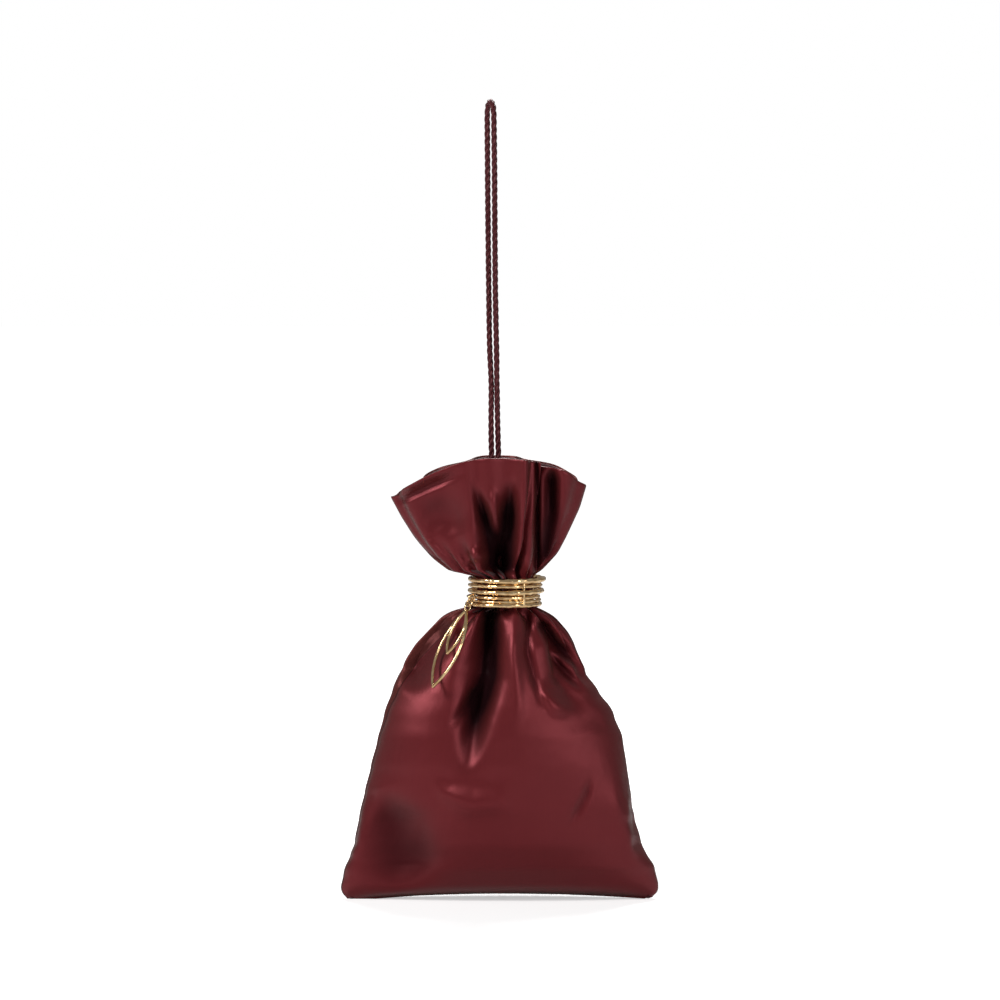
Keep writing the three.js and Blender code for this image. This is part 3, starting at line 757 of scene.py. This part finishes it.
satin_bag = cloth_piece("satin_bag", cloth, 0, ROWS, True, SATIN_THICK, 0)
inside = cloth - outward * LINING_INSET
inside[0] += (0, 0, -RIM_DROP)
cuff_row = int(np.argmin(np.abs(RUNS - (CUFF_FROM + CUFF_TO) / 2)))
inset = LINING_INSET / MM
mouth_facing = cloth_piece("mouth_facing_cloth", inside, 0, cuff_row, False, LINING_THICK, inset)
bag_lining = cloth_piece("bag_lining", inside, cuff_row, ROWS, True, LINING_THICK, inset)
print("satin triangles", triangles(satin_bag), "facing", triangles(mouth_facing),
      "lining", triangles(bag_lining))

# %% [markdown]
# ## Cuff
# The cuff is cast in one piece: six rings of uneven wire that lean a little each way, fused by three
# short bars, with an eye for the charm. Every ring starts as a torus. It is swollen a little towards
# the front right and then dented by a cell texture, as a planishing hammer leaves it.

# %% Six hammered rings
CUFF_BORE = 18.8
# wire thickness, daylight below, shift sideways and lean of each ring, from the top
CUFF_RINGS = [
    (2.7, 1.1, 1.0, 0.012), (1.8, 1.0, 0.1, -0.010), (2.3, 1.2, 0.4, 0.014),
    (1.6, 0.4, -0.9, -0.006), (1.4, 0.4, -0.3, 0.008), (2.3, 0.0, -0.8, -0.008),
]
RING_STEPS, WIRE_SIDES = 180, 16
SWELL, SWELL_TOWARDS, SWELL_SPREAD = 0.42, -66, 48
# how deep the hammer's dents are, on thick wire and on thin
THICK_FROM, THICK_DENTS, THIN_DENTS = 2, 0.62, 0.4
DENT_MIDDLE = 0.6

hammer = bpy.data.textures.new("hammer_cells", "VORONOI")
hammer.noise_scale = 3.6 * MM
hammer.distance_metric = "DISTANCE"


def hammered(obj, depth):
    """The piece swollen towards the front right and dented by round blows, with the ridges eased."""
    swollen = obj.vertex_groups.new(name="swollen")
    for vertex in obj.data.vertices:
        angle = math.degrees(math.atan2(vertex.co.y, vertex.co.x - NECK_SHIFT * MM))
        swollen.add([vertex.index], math.exp(-(((angle - SWELL_TOWARDS) / SWELL_SPREAD) ** 2)), "REPLACE")
    swell = obj.modifiers.new("swell", "DISPLACE")
    swell.vertex_group = "swollen"
    swell.strength = SWELL * MM
    swell.mid_level = 0
    dent = obj.modifiers.new("dents", "DISPLACE")
    dent.texture = hammer
    dent.texture_coords = "LOCAL"
    dent.strength = depth * MM
    dent.mid_level = DENT_MIDDLE
    ease = obj.modifiers.new("ease", "SMOOTH")
    ease.iterations = 1
    return apply_modifiers(obj)


def cuff_ring(number, level):
    wire, _, shift, lean = CUFF_RINGS[number]
    middle = CUFF_BORE + wire / 2
    deselect_all()
    bpy.ops.mesh.primitive_torus_add(
        major_radius=middle * MM, minor_radius=wire / 2 * MM,
        major_segments=RING_STEPS, minor_segments=WIRE_SIDES,
        location=((NECK_SHIFT + shift) * MM, 0, level * MM), rotation=(lean, 0, 0),
    )
    ring = settle(new_piece(f"cuff_ring_{number + 1}"))
    return hammered(ring, THICK_DENTS if wire > THICK_FROM else THIN_DENTS)


def ring_levels():
    """The level of each ring's middle, worked down from the top of the cuff."""
    level, levels = CUFF_TOP, []
    for wire, daylight, _, _ in CUFF_RINGS:
        levels.append(level - wire / 2)
        level -= wire + daylight
    return levels


LEVELS = ring_levels()
cuff_parts = [cuff_ring(number, level) for number, level in enumerate(LEVELS)]
print("rings at", [round(level, 1) for level in LEVELS])

# %% [markdown]
# Three short bars fuse the rings at uneven angles, as on the casting, and a small eye on the left front
# carries the charm. They sink into the rings and are joined with them into one piece.

# %% The bars that join them, and the eye
JOIN_ANGLES = (-60, 42, 128)
JOIN_WIRE, JOIN_ROUNDING = 1.5, 0.3
EYE_AZIMUTH, EYE_DROP, EYE_HOLE, EYE_WIRE = math.radians(217), 11, 2.6, 1.1
MOST_SHIFT = 1.0
EYE_REACH = CUFF_BORE + CUFF_RINGS[3][0] + MOST_SHIFT + EYE_HOLE / 2 + EYE_WIRE / 4
EYE_MIDDLE = (EYE_HOLE + EYE_WIRE) / 2
CAST_CREASE = 50
eye_place = Vector((NECK_SHIFT, 0, CUFF_TOP - EYE_DROP))
eye_place += Vector((math.cos(EYE_AZIMUTH), math.sin(EYE_AZIMUTH), 0)) * EYE_REACH

for angle in map(math.radians, JOIN_ANGLES):
    reach = CUFF_BORE + MOST_SHIFT + JOIN_WIRE / 2
    deselect_all()
    bpy.ops.mesh.primitive_cylinder_add(
        vertices=16, radius=JOIN_WIRE / 2 * MM, depth=(LEVELS[0] - LEVELS[-1]) * MM,
        location=((NECK_SHIFT + reach * math.cos(angle)) * MM, reach * math.sin(angle) * MM,
                  (LEVELS[0] + LEVELS[-1]) / 2 * MM),
    )
    bar = settle(new_piece("cuff_join"))
    rounded = bar.modifiers.new("rounded", "BEVEL")
    rounded.width = JOIN_WIRE * JOIN_ROUNDING * MM
    rounded.segments = 3
    cuff_parts.append(apply_modifiers(bar))

deselect_all()
bpy.ops.mesh.primitive_torus_add(
    major_radius=EYE_MIDDLE * MM, minor_radius=EYE_WIRE / 2 * MM, major_segments=32, minor_segments=12,
    location=eye_place * MM, rotation=(math.pi / 2, 0, EYE_AZIMUTH),
)
cuff_parts.append(settle(new_piece("cuff_eye")))
cuff = smooth(joined("hammered_cuff", cuff_parts), CAST_CREASE)
print("cuff triangles", triangles(cuff))

# %% [markdown]
# ## Jump ring and charm
# A small ring of plain wire hangs in the cuff's eye and carries the charm: two nested pointed leaves
# of round rod under a loop. Each side of a leaf is the rod's section spun along an arc. The rods, the
# balls at the tips and the loop are then remeshed into one cast piece and smoothed.

# %% Jump ring
EYES_APART, JUMP_WIRE, GAP = 0.8, 1.0, 0.3
CHARM_LEAN = math.radians(29)
SEAT = EYE_HOLE / 2 - JUMP_WIRE / 2 - GAP
CHARM_TOP = 2 * EYE_MIDDLE + EYE_WIRE + EYES_APART
JUMP_MIDDLE = CHARM_TOP / 2 - SEAT
hanging = Matrix.Translation(eye_place * MM)
hanging @= Matrix.Rotation(EYE_AZIMUTH - math.pi / 2, 4, "Z") @ Matrix.Rotation(CHARM_LEAN, 4, "X")


def hung(obj, drop, turn, axis):
    """The piece placed a drop below the eye, in the leaning frame that the charm hangs in."""
    obj.matrix_world = hanging @ Matrix.Translation((0, 0, -drop * MM)) @ Matrix.Rotation(turn, 4, axis)
    return settle(obj)


deselect_all()
bpy.ops.mesh.primitive_torus_add(
    major_radius=JUMP_MIDDLE * MM, minor_radius=JUMP_WIRE / 2 * MM, major_segments=48, minor_segments=14,
)
jump_ring = hung(new_piece("jump_ring_wire"), SEAT + JUMP_MIDDLE, math.pi / 2, "X")
smooth(jump_ring)
print("jump ring spans", round(2 * JUMP_MIDDLE + JUMP_WIRE, 2), "mm")

# %% [markdown]
# The charm's leaves are narrow and meet in points, as bent rod does. Both hang from one tip. The whole
# is made upright at first, and is then hung in the leaning frame of the ring that carries it.

# %% Charm
CHARM_LENGTH, CHARM_WIDTH, CHARM_ROD, INNER_LEAF = 46, 18, 1.8, 0.56
LEAF_STEPS = 40
TIP_SWELL = 1.12
CAST_VOXEL, POLISH_STROKES = 0.24 * MM, 5


def leaf_side(length, width, top, side):
    """One side of a pointed leaf: the rod's section spun along its arc."""
    half = length / 2
    radius = (half**2 + (width / 2) ** 2) / width
    swing = math.asin(half / radius)
    middle = Vector((-side * (radius - width / 2), 0, top - half))
    start = middle + Vector((side * math.cos(-swing), 0, math.sin(-swing))) * radius
    deselect_all()
    bpy.ops.mesh.primitive_circle_add(
        vertices=16, radius=CHARM_ROD / 2 * MM, fill_type="NGON", location=start * MM,
        rotation=(0, side * swing, 0),
    )
    rod = settle(new_piece("leaf_side"))
    bpy.ops.object.mode_set(mode="EDIT")
    bpy.ops.mesh.select_all(action="SELECT")
    bpy.ops.mesh.spin(
        steps=LEAF_STEPS, angle=2 * swing, center=middle * MM, axis=(0, side, 0),
    )
    bpy.ops.mesh.select_all(action="SELECT")
    bpy.ops.mesh.normals_make_consistent(inside=False)
    bpy.ops.object.mode_set(mode="OBJECT")
    return rod


def tip_ball(place):
    """A ball a little thicker than the rod, where two sides of a leaf meet."""
    deselect_all()
    bpy.ops.mesh.primitive_uv_sphere_add(
        segments=20, ring_count=12, radius=CHARM_ROD / 2 * TIP_SWELL * MM, location=place * MM,
    )
    return settle(new_piece("tip_ball"))


charm_top = -EYE_MIDDLE - CHARM_ROD / 4
charm_parts = []
for share in (1, INNER_LEAF):
    length, width = CHARM_LENGTH * share, CHARM_WIDTH * share
    charm_parts += [leaf_side(length, width, charm_top, side) for side in (-1, 1)]
    charm_parts.append(tip_ball(Vector((0, 0, charm_top - length))))
charm_parts.append(tip_ball(Vector((0, 0, charm_top))))
deselect_all()
bpy.ops.mesh.primitive_torus_add(
    major_radius=EYE_MIDDLE * MM, minor_radius=EYE_WIRE / 2 * MM, major_segments=32, minor_segments=12,
    rotation=(0, math.pi / 2, 0),
)
charm_parts.append(settle(new_piece("charm_loop")))
charm = joined("leaf_charm", charm_parts)
cast = charm.modifiers.new("cast", "REMESH")
cast.mode = "VOXEL"
cast.voxel_size = CAST_VOXEL
polish = charm.modifiers.new("polish", "SMOOTH")
polish.iterations = POLISH_STROKES
apply_modifiers(charm)
charm = smooth(hung(charm, CHARM_TOP, 0, "Z"))
print("charm triangles", triangles(charm))
for piece, node in ((cuff, "cuff"), (jump_ring, "jump_ring"), (charm, "charm")):
    low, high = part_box(node)
    corners = np.array([vertex.co for vertex in piece.data.vertices])
    off = max(abs(corners.min(0) - low).max(), abs(corners.max(0) - high).max())
    print(piece.name, "differs from its CAD box by", round(float(off) / MM, 2), "mm")

# %% [markdown]
# ## Finishes
# Every finish is a small network of nodes on one shader, so that it stays sharp from close by and needs
# no picture. These helpers add a node, a sum or a mix of colours in one line each.

# %% Helpers for node trees
def add(tree, kind, **values):
    """A new node, with its sockets and settings filled in by name."""
    node = tree.nodes.new(kind)
    for name, value in values.items():
        if name in node.inputs:
            node.inputs[name].default_value = value
        else:
            setattr(node, name, value)
    return node


def math_node(tree, operation, a, b=None, clamp=False):
    """The output of a math node, fed by numbers or by other outputs."""
    node = add(tree, "ShaderNodeMath", operation=operation, use_clamp=clamp)
    for socket, value in zip(node.inputs, (a, b)):
        if value is None:
            continue
        if isinstance(value, (int, float)):
            socket.default_value = value
        else:
            tree.links.new(value, socket)
    return node.outputs[0]


def mix_colours(tree, share, a, b):
    """A colour on the way from a to b."""
    node = add(tree, "ShaderNodeMix", data_type="RGBA")
    for socket, value in ((node.inputs[0], share), (node.inputs[6], a), (node.inputs[7], b)):
        if isinstance(value, (tuple, float, int)):
            socket.default_value = value
        else:
            tree.links.new(value, socket)
    return node.outputs[2]


def new_material(name, **sockets):
    """A material with constant values on its Principled sockets, its node tree and its shader."""
    material = bpy.data.materials.new(name)
    material.use_nodes = True
    shader = material.node_tree.nodes["Principled BSDF"]
    for socket, value in sockets.items():
        shader.inputs[socket.replace("_", " ")].default_value = value
    return material, material.node_tree, shader


def dress(obj, material):
    obj.data.materials.clear()
    obj.data.materials.append(material)


# %% [markdown]
# Satin and lining share one weave: fine threads across and along the flat cut, with slow streaks in
# the warp. It is a node group that puts out a height and a shade, and each cloth sets its own thread
# size. The seams read a second UV map that holds the distance from the seam in metres.

# %% The weave, shared by every cloth
SATIN_THREADS, LINING_THREADS = 3300, 2400
SATIN_STREAK, LINING_STREAK = 0.7, 0.4
WEFT_SHARE = 0.4
# streaks are narrow across the cloth and long down it
STREAK_STRETCH = (900, 26, 1)
THREAD_BUMP = 0.0001


def weave_group():
    """The node group: a place on the flat cut goes in, a height and a shade come out."""
    group = bpy.data.node_groups.new("fine_weave", "ShaderNodeTree")
    group.interface.new_socket(name="Place", in_out="INPUT", socket_type="NodeSocketVector")
    for name, value in (("Threads per metre", 4000), ("Streak", 0.5)):
        socket = group.interface.new_socket(name=name, in_out="INPUT", socket_type="NodeSocketFloat")
        socket.default_value = value
    for name in ("Height", "Shade"):
        group.interface.new_socket(name=name, in_out="OUTPUT", socket_type="NodeSocketFloat")
    entry, out = add(group, "NodeGroupInput"), add(group, "NodeGroupOutput")
    parts = add(group, "ShaderNodeSeparateXYZ")
    group.links.new(entry.outputs["Place"], parts.inputs[0])
    turn = math_node(group, "MULTIPLY", entry.outputs["Threads per metre"], TAU)
    warp = math_node(group, "SINE", math_node(group, "MULTIPLY", parts.outputs[0], turn))
    weft = math_node(group, "SINE", math_node(group, "MULTIPLY", parts.outputs[1], turn))
    low_weft = math_node(group, "MULTIPLY", weft, WEFT_SHARE)
    threads = math_node(group, "MULTIPLY", math_node(group, "ADD", warp, low_weft), 0.5)
    stretch = add(group, "ShaderNodeVectorMath", operation="MULTIPLY")
    stretch.inputs[1].default_value = STREAK_STRETCH
    group.links.new(entry.outputs["Place"], stretch.inputs[0])
    streaks = add(group, "ShaderNodeTexNoise", Scale=1.0, Detail=3.0, Roughness=0.6)
    group.links.new(stretch.outputs[0], streaks.inputs["Vector"])
    streak = math_node(group, "MULTIPLY", math_node(group, "SUBTRACT", streaks.outputs[0], 0.5),
                       entry.outputs["Streak"])
    group.links.new(math_node(group, "ADD", threads, streak), out.inputs["Height"])
    group.links.new(math_node(group, "ADD", streak, 0.5, clamp=True), out.inputs["Shade"])
    return group


WEAVE = weave_group()


def woven(tree, threads, streak):
    """The weave laid on the flat cut, with its height and shade."""
    place = add(tree, "ShaderNodeUVMap", uv_map="cut")
    weave = add(tree, "ShaderNodeGroup", node_tree=WEAVE)
    weave.inputs["Threads per metre"].default_value = threads
    weave.inputs["Streak"].default_value = streak
    tree.links.new(place.outputs[0], weave.inputs["Place"])
    return weave.outputs["Height"], weave.outputs["Shade"]


def bump(tree, shader, height, strength, distance):
    """A height fed to the shader's normal."""
    node = add(tree, "ShaderNodeBump", Strength=strength, Distance=distance)
    tree.links.new(height, node.inputs["Height"])
    tree.links.new(node.outputs[0], shader.inputs["Normal"])
    return node


# %% [markdown]
# Duchess satin is glossy along its warp and a little shot: burgundy face on, and browner where it
# turns away. The back cut all along the seam is painted browner and darker, partly as its own shot and
# partly as painted shade. A flat colour would look like plastic, so the colour and the tint of the gloss
# both turn with the angle. The hollows of the folds are painted darker as shade, the seams are dark
# stitched lines, and the stitches pucker the cloth.

# %% Satin
SATIN_RED = (0.105, 0.0105, 0.0130, 1)
SATIN_DEEP = (0.060, 0.0070, 0.0080, 1)
SEAM_SHADE = (0.012, 0.003, 0.004, 1)
SEAM_LINE = 1.0 * MM
GLOSS_TINT = (0.85, 0.19, 0.22, 1)
# colour and gloss tint where the satin turns away; on the back cut along the seam they are partly painted
# shade
GLOSS_TURNED_AND_SHADED = (0.30, 0.13, 0.10, 1)
SHOT_AND_SHADE_BROWN = (0.046, 0.015, 0.010, 1)
SHEEN_BROWN = (0.42, 0.22, 0.16, 1)
# painted shade in the hollows of the folds, per mm of their depth
HOLLOW_SHADE = 0.12
BACK_SHOT_AND_SHADE = 0.58
SHOT_POWER = 2.2
CLOUD_SCALE = 22.0
ROUGH_LEAST, ROUGH_RANGE = 0.31, 0.10
STITCH = 6 * MM
STITCH_SINK = 0.8


def satin_finish():
    material, tree, shader = new_material(
        "burgundy_satin", Roughness=0.36, Specular_IOR_Level=1.0, Anisotropic=0.5,
        Sheen_Weight=0.10, Sheen_Roughness=0.30, Sheen_Tint=SHEEN_BROWN,
    )
    height, shade = woven(tree, SATIN_THREADS, SATIN_STREAK)
    cloud = add(tree, "ShaderNodeTexNoise", Scale=CLOUD_SCALE, Detail=2.0)
    place = add(tree, "ShaderNodeTexCoord")
    tree.links.new(place.outputs["Object"], cloud.inputs["Vector"])
    tone = math_node(tree, "ADD", math_node(tree, "MULTIPLY", cloud.outputs[0], 0.5),
                     math_node(tree, "MULTIPLY", shade, 0.5), clamp=True)
    colour = mix_colours(tree, tone, SATIN_DEEP, SATIN_RED)
    seams = add(tree, "ShaderNodeUVMap", uv_map="seams")
    parts = add(tree, "ShaderNodeSeparateXYZ")
    tree.links.new(seams.outputs[0], parts.inputs[0])
    away = math_node(tree, "ABSOLUTE", parts.outputs[0])
    line = math_node(tree, "SUBTRACT", 1.0, math_node(tree, "DIVIDE", away, SEAM_LINE), clamp=True)
    # painted shade: the colour and the gloss tint darken with the depth of the narrow folds
    painted_fold_shade = add(tree, "ShaderNodeAttribute", attribute_name="painted_fold_shade")
    depth = math_node(tree, "MULTIPLY", painted_fold_shade.outputs["Fac"], HOLLOW_SHADE, clamp=True)
    turned = add(tree, "ShaderNodeLayerWeight", Blend=0.5).outputs["Facing"]
    turned = math_node(tree, "POWER", turned, SHOT_POWER)
    # the back cut along the seam is painted browner and darker, partly its own shot and partly painted
    # shade
    behind = math_node(tree, "LESS_THAN", parts.outputs[0], 0.0)
    turned = math_node(tree, "MAXIMUM", turned, math_node(tree, "MULTIPLY", behind, BACK_SHOT_AND_SHADE))
    colour = mix_colours(tree, turned, colour, SHOT_AND_SHADE_BROWN)
    # the stronger of the painted fold shade and the dark seam line
    shade_and_seam_line = math_node(tree, "MAXIMUM", depth, line)
    colour = mix_colours(tree, shade_and_seam_line, colour, SEAM_SHADE)
    tree.links.new(colour, shader.inputs["Base Color"])
    gloss = mix_colours(tree, turned, GLOSS_TINT, GLOSS_TURNED_AND_SHADED)
    tree.links.new(mix_colours(tree, shade_and_seam_line, gloss, SEAM_SHADE), shader.inputs["Specular Tint"])
    rough = math_node(tree, "ADD", math_node(tree, "MULTIPLY", shade, ROUGH_RANGE), ROUGH_LEAST)
    tree.links.new(rough, shader.inputs["Roughness"])
    stitches = math_node(tree, "SINE", math_node(tree, "MULTIPLY", parts.outputs[1], TAU / STITCH))
    pucker = math_node(tree, "MULTIPLY", stitches, line)
    sunk = math_node(tree, "MULTIPLY", line, STITCH_SINK)
    relief = math_node(tree, "SUBTRACT", math_node(tree, "MULTIPLY", height, 0.5), sunk)
    bump(tree, shader, math_node(tree, "ADD", relief, pucker), 0.25, THREAD_BUMP)
    tangent = add(tree, "ShaderNodeTangent", direction_type="UV_MAP", uv_map="cut")
    tree.links.new(tangent.outputs[0], shader.inputs["Tangent"])
    return material


satin = satin_finish()
dress(satin_bag, satin)

# %% [markdown]
# The lining and the facing are a plain matt cloth of the same dye lot, with coarser threads than the
# satin's. The tab that holds the cord is cut from it too, but it has no flat cut, so its weave is laid
# in the space of the object.

# %% Lining, facing and tab
LINING_DARK = (0.045, 0.007, 0.009, 1)
LINING_RED = (0.078, 0.011, 0.014, 1)


def lining_finish(name, on_cut):
    """The lining cloth, woven on the flat cut or in the object's own space."""
    material, tree, shader = new_material(name, Roughness=0.62, Sheen_Weight=0.15, Sheen_Roughness=0.5)
    if on_cut:
        height, shade = woven(tree, LINING_THREADS, LINING_STREAK)
    else:
        place = add(tree, "ShaderNodeTexCoord")
        weave = add(tree, "ShaderNodeGroup", node_tree=WEAVE)
        weave.inputs["Threads per metre"].default_value = LINING_THREADS
        tree.links.new(place.outputs["Object"], weave.inputs["Place"])
        height, shade = weave.outputs["Height"], weave.outputs["Shade"]
    colour = mix_colours(tree, shade, LINING_DARK, LINING_RED)
    tree.links.new(colour, shader.inputs["Base Color"])
    bump(tree, shader, height, 0.3, THREAD_BUMP)
    return material


lining = lining_finish("lining_twill", True)
for piece in (bag_lining, mouth_facing):
    dress(piece, lining)
tab = nodes["cord_tab"]
tab.material_slots[0].material = lining_finish("tab_twill", False)

# %% [markdown]
# Each ply of the cord is itself a bundle of glossy rayon threads that run at a slant round the ply. Its
# UV map gives the turn round the ply and the run along it, so the threads are a slanted wave.

# %% Cord
CORD_DARK = (0.020, 0.003, 0.005, 1)
CORD_RED = (0.085, 0.012, 0.016, 1)
CORD_SHEEN = (0.75, 0.30, 0.28, 1)
CORD_GLOSS = (0.9, 0.42, 0.42, 1)
THREADS_ROUND, THREAD_PITCH = 7, 4.1 * MM
CORD_BUMP = 0.00012
SPECK_SCALE = 1400.0


def cord_finish():
    """Rayon threads as a slanted wave round each ply, with specks of lighter fibre."""
    material, tree, shader = new_material(
        "twisted_rayon", Roughness=0.42, Sheen_Weight=0.16, Sheen_Roughness=0.35,
        Sheen_Tint=CORD_SHEEN, Specular_IOR_Level=0.5, Specular_Tint=CORD_GLOSS,
    )
    place = add(tree, "ShaderNodeUVMap", uv_map="ply")
    parts = add(tree, "ShaderNodeSeparateXYZ")
    tree.links.new(place.outputs[0], parts.inputs[0])
    around = math_node(tree, "MULTIPLY", parts.outputs[0], TAU * THREADS_ROUND)
    along = math_node(tree, "MULTIPLY", parts.outputs[1], TAU / THREAD_PITCH)
    thread = math_node(tree, "SINE", math_node(tree, "ADD", around, along))
    speck = add(tree, "ShaderNodeTexNoise", Scale=SPECK_SCALE, Detail=2.0)
    where = add(tree, "ShaderNodeTexCoord")
    tree.links.new(where.outputs["Object"], speck.inputs["Vector"])
    tone = math_node(tree, "ADD", math_node(tree, "MULTIPLY", thread, 0.25), speck.outputs[0], clamp=True)
    colour = mix_colours(tree, tone, CORD_DARK, CORD_RED)
    tree.links.new(colour, shader.inputs["Base Color"])
    bump(tree, shader, thread, 0.5, CORD_BUMP)
    return material


dress(cord, cord_finish())

# %% [markdown]
# The metal is brass with a polished pale gold plating. Real dents in the mesh break up its reflections
# first. Shallower marks, too fine for the mesh, stay in the bump, and the edges of the marks hold a
# deeper tone.

# %% Gold
GOLD_BRIGHT = (0.98, 0.76, 0.44, 1)
GOLD_DEEP = (0.52, 0.29, 0.12, 1)
GRAIN_SCALE = 900.0
POLISH_LEAST, POLISH_RANGE = 0.11, 0.12
# hammer marks per metre and how deep they are, on the cuff and on the smoother charm
CUFF_MARKS, CUFF_MARK_DEPTH = 330.0, 0.0006
CHARM_MARKS, CHARM_MARK_DEPTH = 260.0, 0.00015


def gold_finish(name, marks, depth):
    """Polished plating with shallow marks, brightest in the middle of each mark."""
    material, tree, shader = new_material(name, Metallic=1.0, Roughness=0.17)
    place = add(tree, "ShaderNodeTexCoord")
    cells = add(tree, "ShaderNodeTexVoronoi", feature="SMOOTH_F1", Scale=marks, Smoothness=0.6)
    tree.links.new(place.outputs["Object"], cells.inputs["Vector"])
    fine = add(tree, "ShaderNodeTexNoise", Scale=GRAIN_SCALE, Detail=3.0)
    tree.links.new(place.outputs["Object"], fine.inputs["Vector"])
    tone = math_node(tree, "ADD", math_node(tree, "MULTIPLY", cells.outputs["Distance"], 0.8),
                     math_node(tree, "MULTIPLY", fine.outputs[0], 0.3), clamp=True)
    colour = mix_colours(tree, tone, GOLD_BRIGHT, GOLD_DEEP)
    tree.links.new(colour, shader.inputs["Base Color"])
    rough = math_node(tree, "MULTIPLY", fine.outputs[0], POLISH_RANGE)
    tree.links.new(math_node(tree, "ADD", rough, POLISH_LEAST), shader.inputs["Roughness"])
    bump(tree, shader, cells.outputs["Distance"], 0.55, depth)
    return material


hammered_gold = gold_finish("hammered_gold", CUFF_MARKS, CUFF_MARK_DEPTH)
for piece in (cuff, jump_ring):
    dress(piece, hammered_gold)
dress(charm, gold_finish("polished_gold", CHARM_MARKS, CHARM_MARK_DEPTH))
print("finishes:", ", ".join(sorted(material.name for material in bpy.data.materials)))

# %% [markdown]
# ## Floor and light
# The pouch's base all but touches a plain white floor. The photograph's ground is pure white, so the
# floor and the world look white to the camera, while the lamps stay at a plain level.

# %% Floor
FLOOR_SIZE, FLOOR_GAP = 40, 0.5 * MM
FLOOR_PAINT = (0.86, 0.86, 0.86, 1)
# the floor glows a little for the camera, and fully from this far out, where it has to look white
FLOOR_LIFT, LIT_FROM, LIT_TO = 0.48, 0.12, 0.40

deselect_all()
bpy.ops.mesh.primitive_plane_add(size=FLOOR_SIZE, location=(0, 0, cad_low.z - FLOOR_GAP))
floor = new_piece("floor")
floor_paint, floor_tree, floor_shader = new_material(
    "floor_white", Base_Color=FLOOR_PAINT, Roughness=0.9, Specular_IOR_Level=0.1,
    Emission_Color=(1, 1, 1, 1),
)
seen = add(floor_tree, "ShaderNodeLightPath").outputs["Is Camera Ray"]
where = add(floor_tree, "ShaderNodeTexCoord")
reach = add(floor_tree, "ShaderNodeVectorMath", operation="LENGTH")
floor_tree.links.new(where.outputs["Object"], reach.inputs[0])
far = add(floor_tree, "ShaderNodeMapRange", interpolation_type="SMOOTHSTEP")
for socket, value in zip(far.inputs[1:5], (LIT_FROM, LIT_TO, FLOOR_LIFT, 1.0)):
    socket.default_value = value
floor_tree.links.new(reach.outputs["Value"], far.inputs[0])
glow = math_node(floor_tree, "MULTIPLY", seen, far.outputs[0])
floor_tree.links.new(glow, floor_shader.inputs["Emission Strength"])
dress(floor, floor_paint)
print("floor at", round(floor.location.z, 4), "m")

# %% [markdown]
# A tall soft lamp on the left draws the long highlights on the satin, a weaker one on the right opens
# the shadows, and one behind marks the edges. The world is white to the camera, dimmer to reflections
# and dimmest as a light, so that the satin keeps its depth.

# %% World and lamps
WORLD_LEVEL, REFLECTED_LEVEL = 0.08, 0.28
LAMP_AIM = Vector((0, 0, -0.32))

world = bpy.data.worlds.new("studio")
bpy.context.scene.world = world
world.use_nodes = True
sky = world.node_tree
ground = sky.nodes["Background"]
ground.inputs["Color"].default_value = (1, 1, 1, 1)
path = add(sky, "ShaderNodeLightPath")
white = math_node(sky, "MAXIMUM", path.outputs["Is Camera Ray"], path.outputs["Is Transmission Ray"])
reflected = math_node(sky, "MULTIPLY", path.outputs["Is Glossy Ray"], REFLECTED_LEVEL)
level = math_node(sky, "MAXIMUM", white, reflected)
sky.links.new(math_node(sky, "MAXIMUM", level, WORLD_LEVEL), ground.inputs["Strength"])


def lamp(name, place, size, watts):
    """A soft rectangular lamp that looks at the bag."""
    deselect_all()
    bpy.ops.object.light_add(type="AREA", location=place)
    light = bpy.context.active_object
    light.name = name
    light.data.shape = "RECTANGLE"
    light.data.size, light.data.size_y = size
    light.data.energy = watts
    light.rotation_euler = (LAMP_AIM - Vector(place)).to_track_quat("-Z", "Y").to_euler()
    return light


lamp("key_left", (-1.3, -1.0, 0.75), (0.4, 0.7), 27)
lamp("fill_right", (1.1, -1.3, 0.1), (0.3, 0.8), 8)
lamp("top_back", (0.1, 0.8, 0.9), (0.6, 0.4), 16)
bpy.context.scene.view_settings.view_transform = "Standard"

# %% [markdown]
# ## Riding and hiding
# Every piece rides on the CAD body that it belongs to, and the imported nodes that it stands for are
# hidden. The facing is taken as cut narrower than the satin and eased in at the rim, since nothing of its
# cut can be seen.

for piece, body, slot, stands_for in (
    (satin_bag, "pouch", "satin", ("front_panel", "back_panel", "front_frill", "back_frill")),
    (bag_lining, "pouch", "lining", ("lining",)),
    (mouth_facing, "pouch", "lining", ("mouth_facing",)),
    (cord, "pouch", "cord", ("cord",)),
    (cuff, "sliding_cuff", "gold", ("cuff",)),
    (jump_ring, "hanging_ring", "gold", ("jump_ring",)),
    (charm, "hanging_charm", "gold", ("charm",)),
):
    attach(piece, body)
    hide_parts(*stands_for)
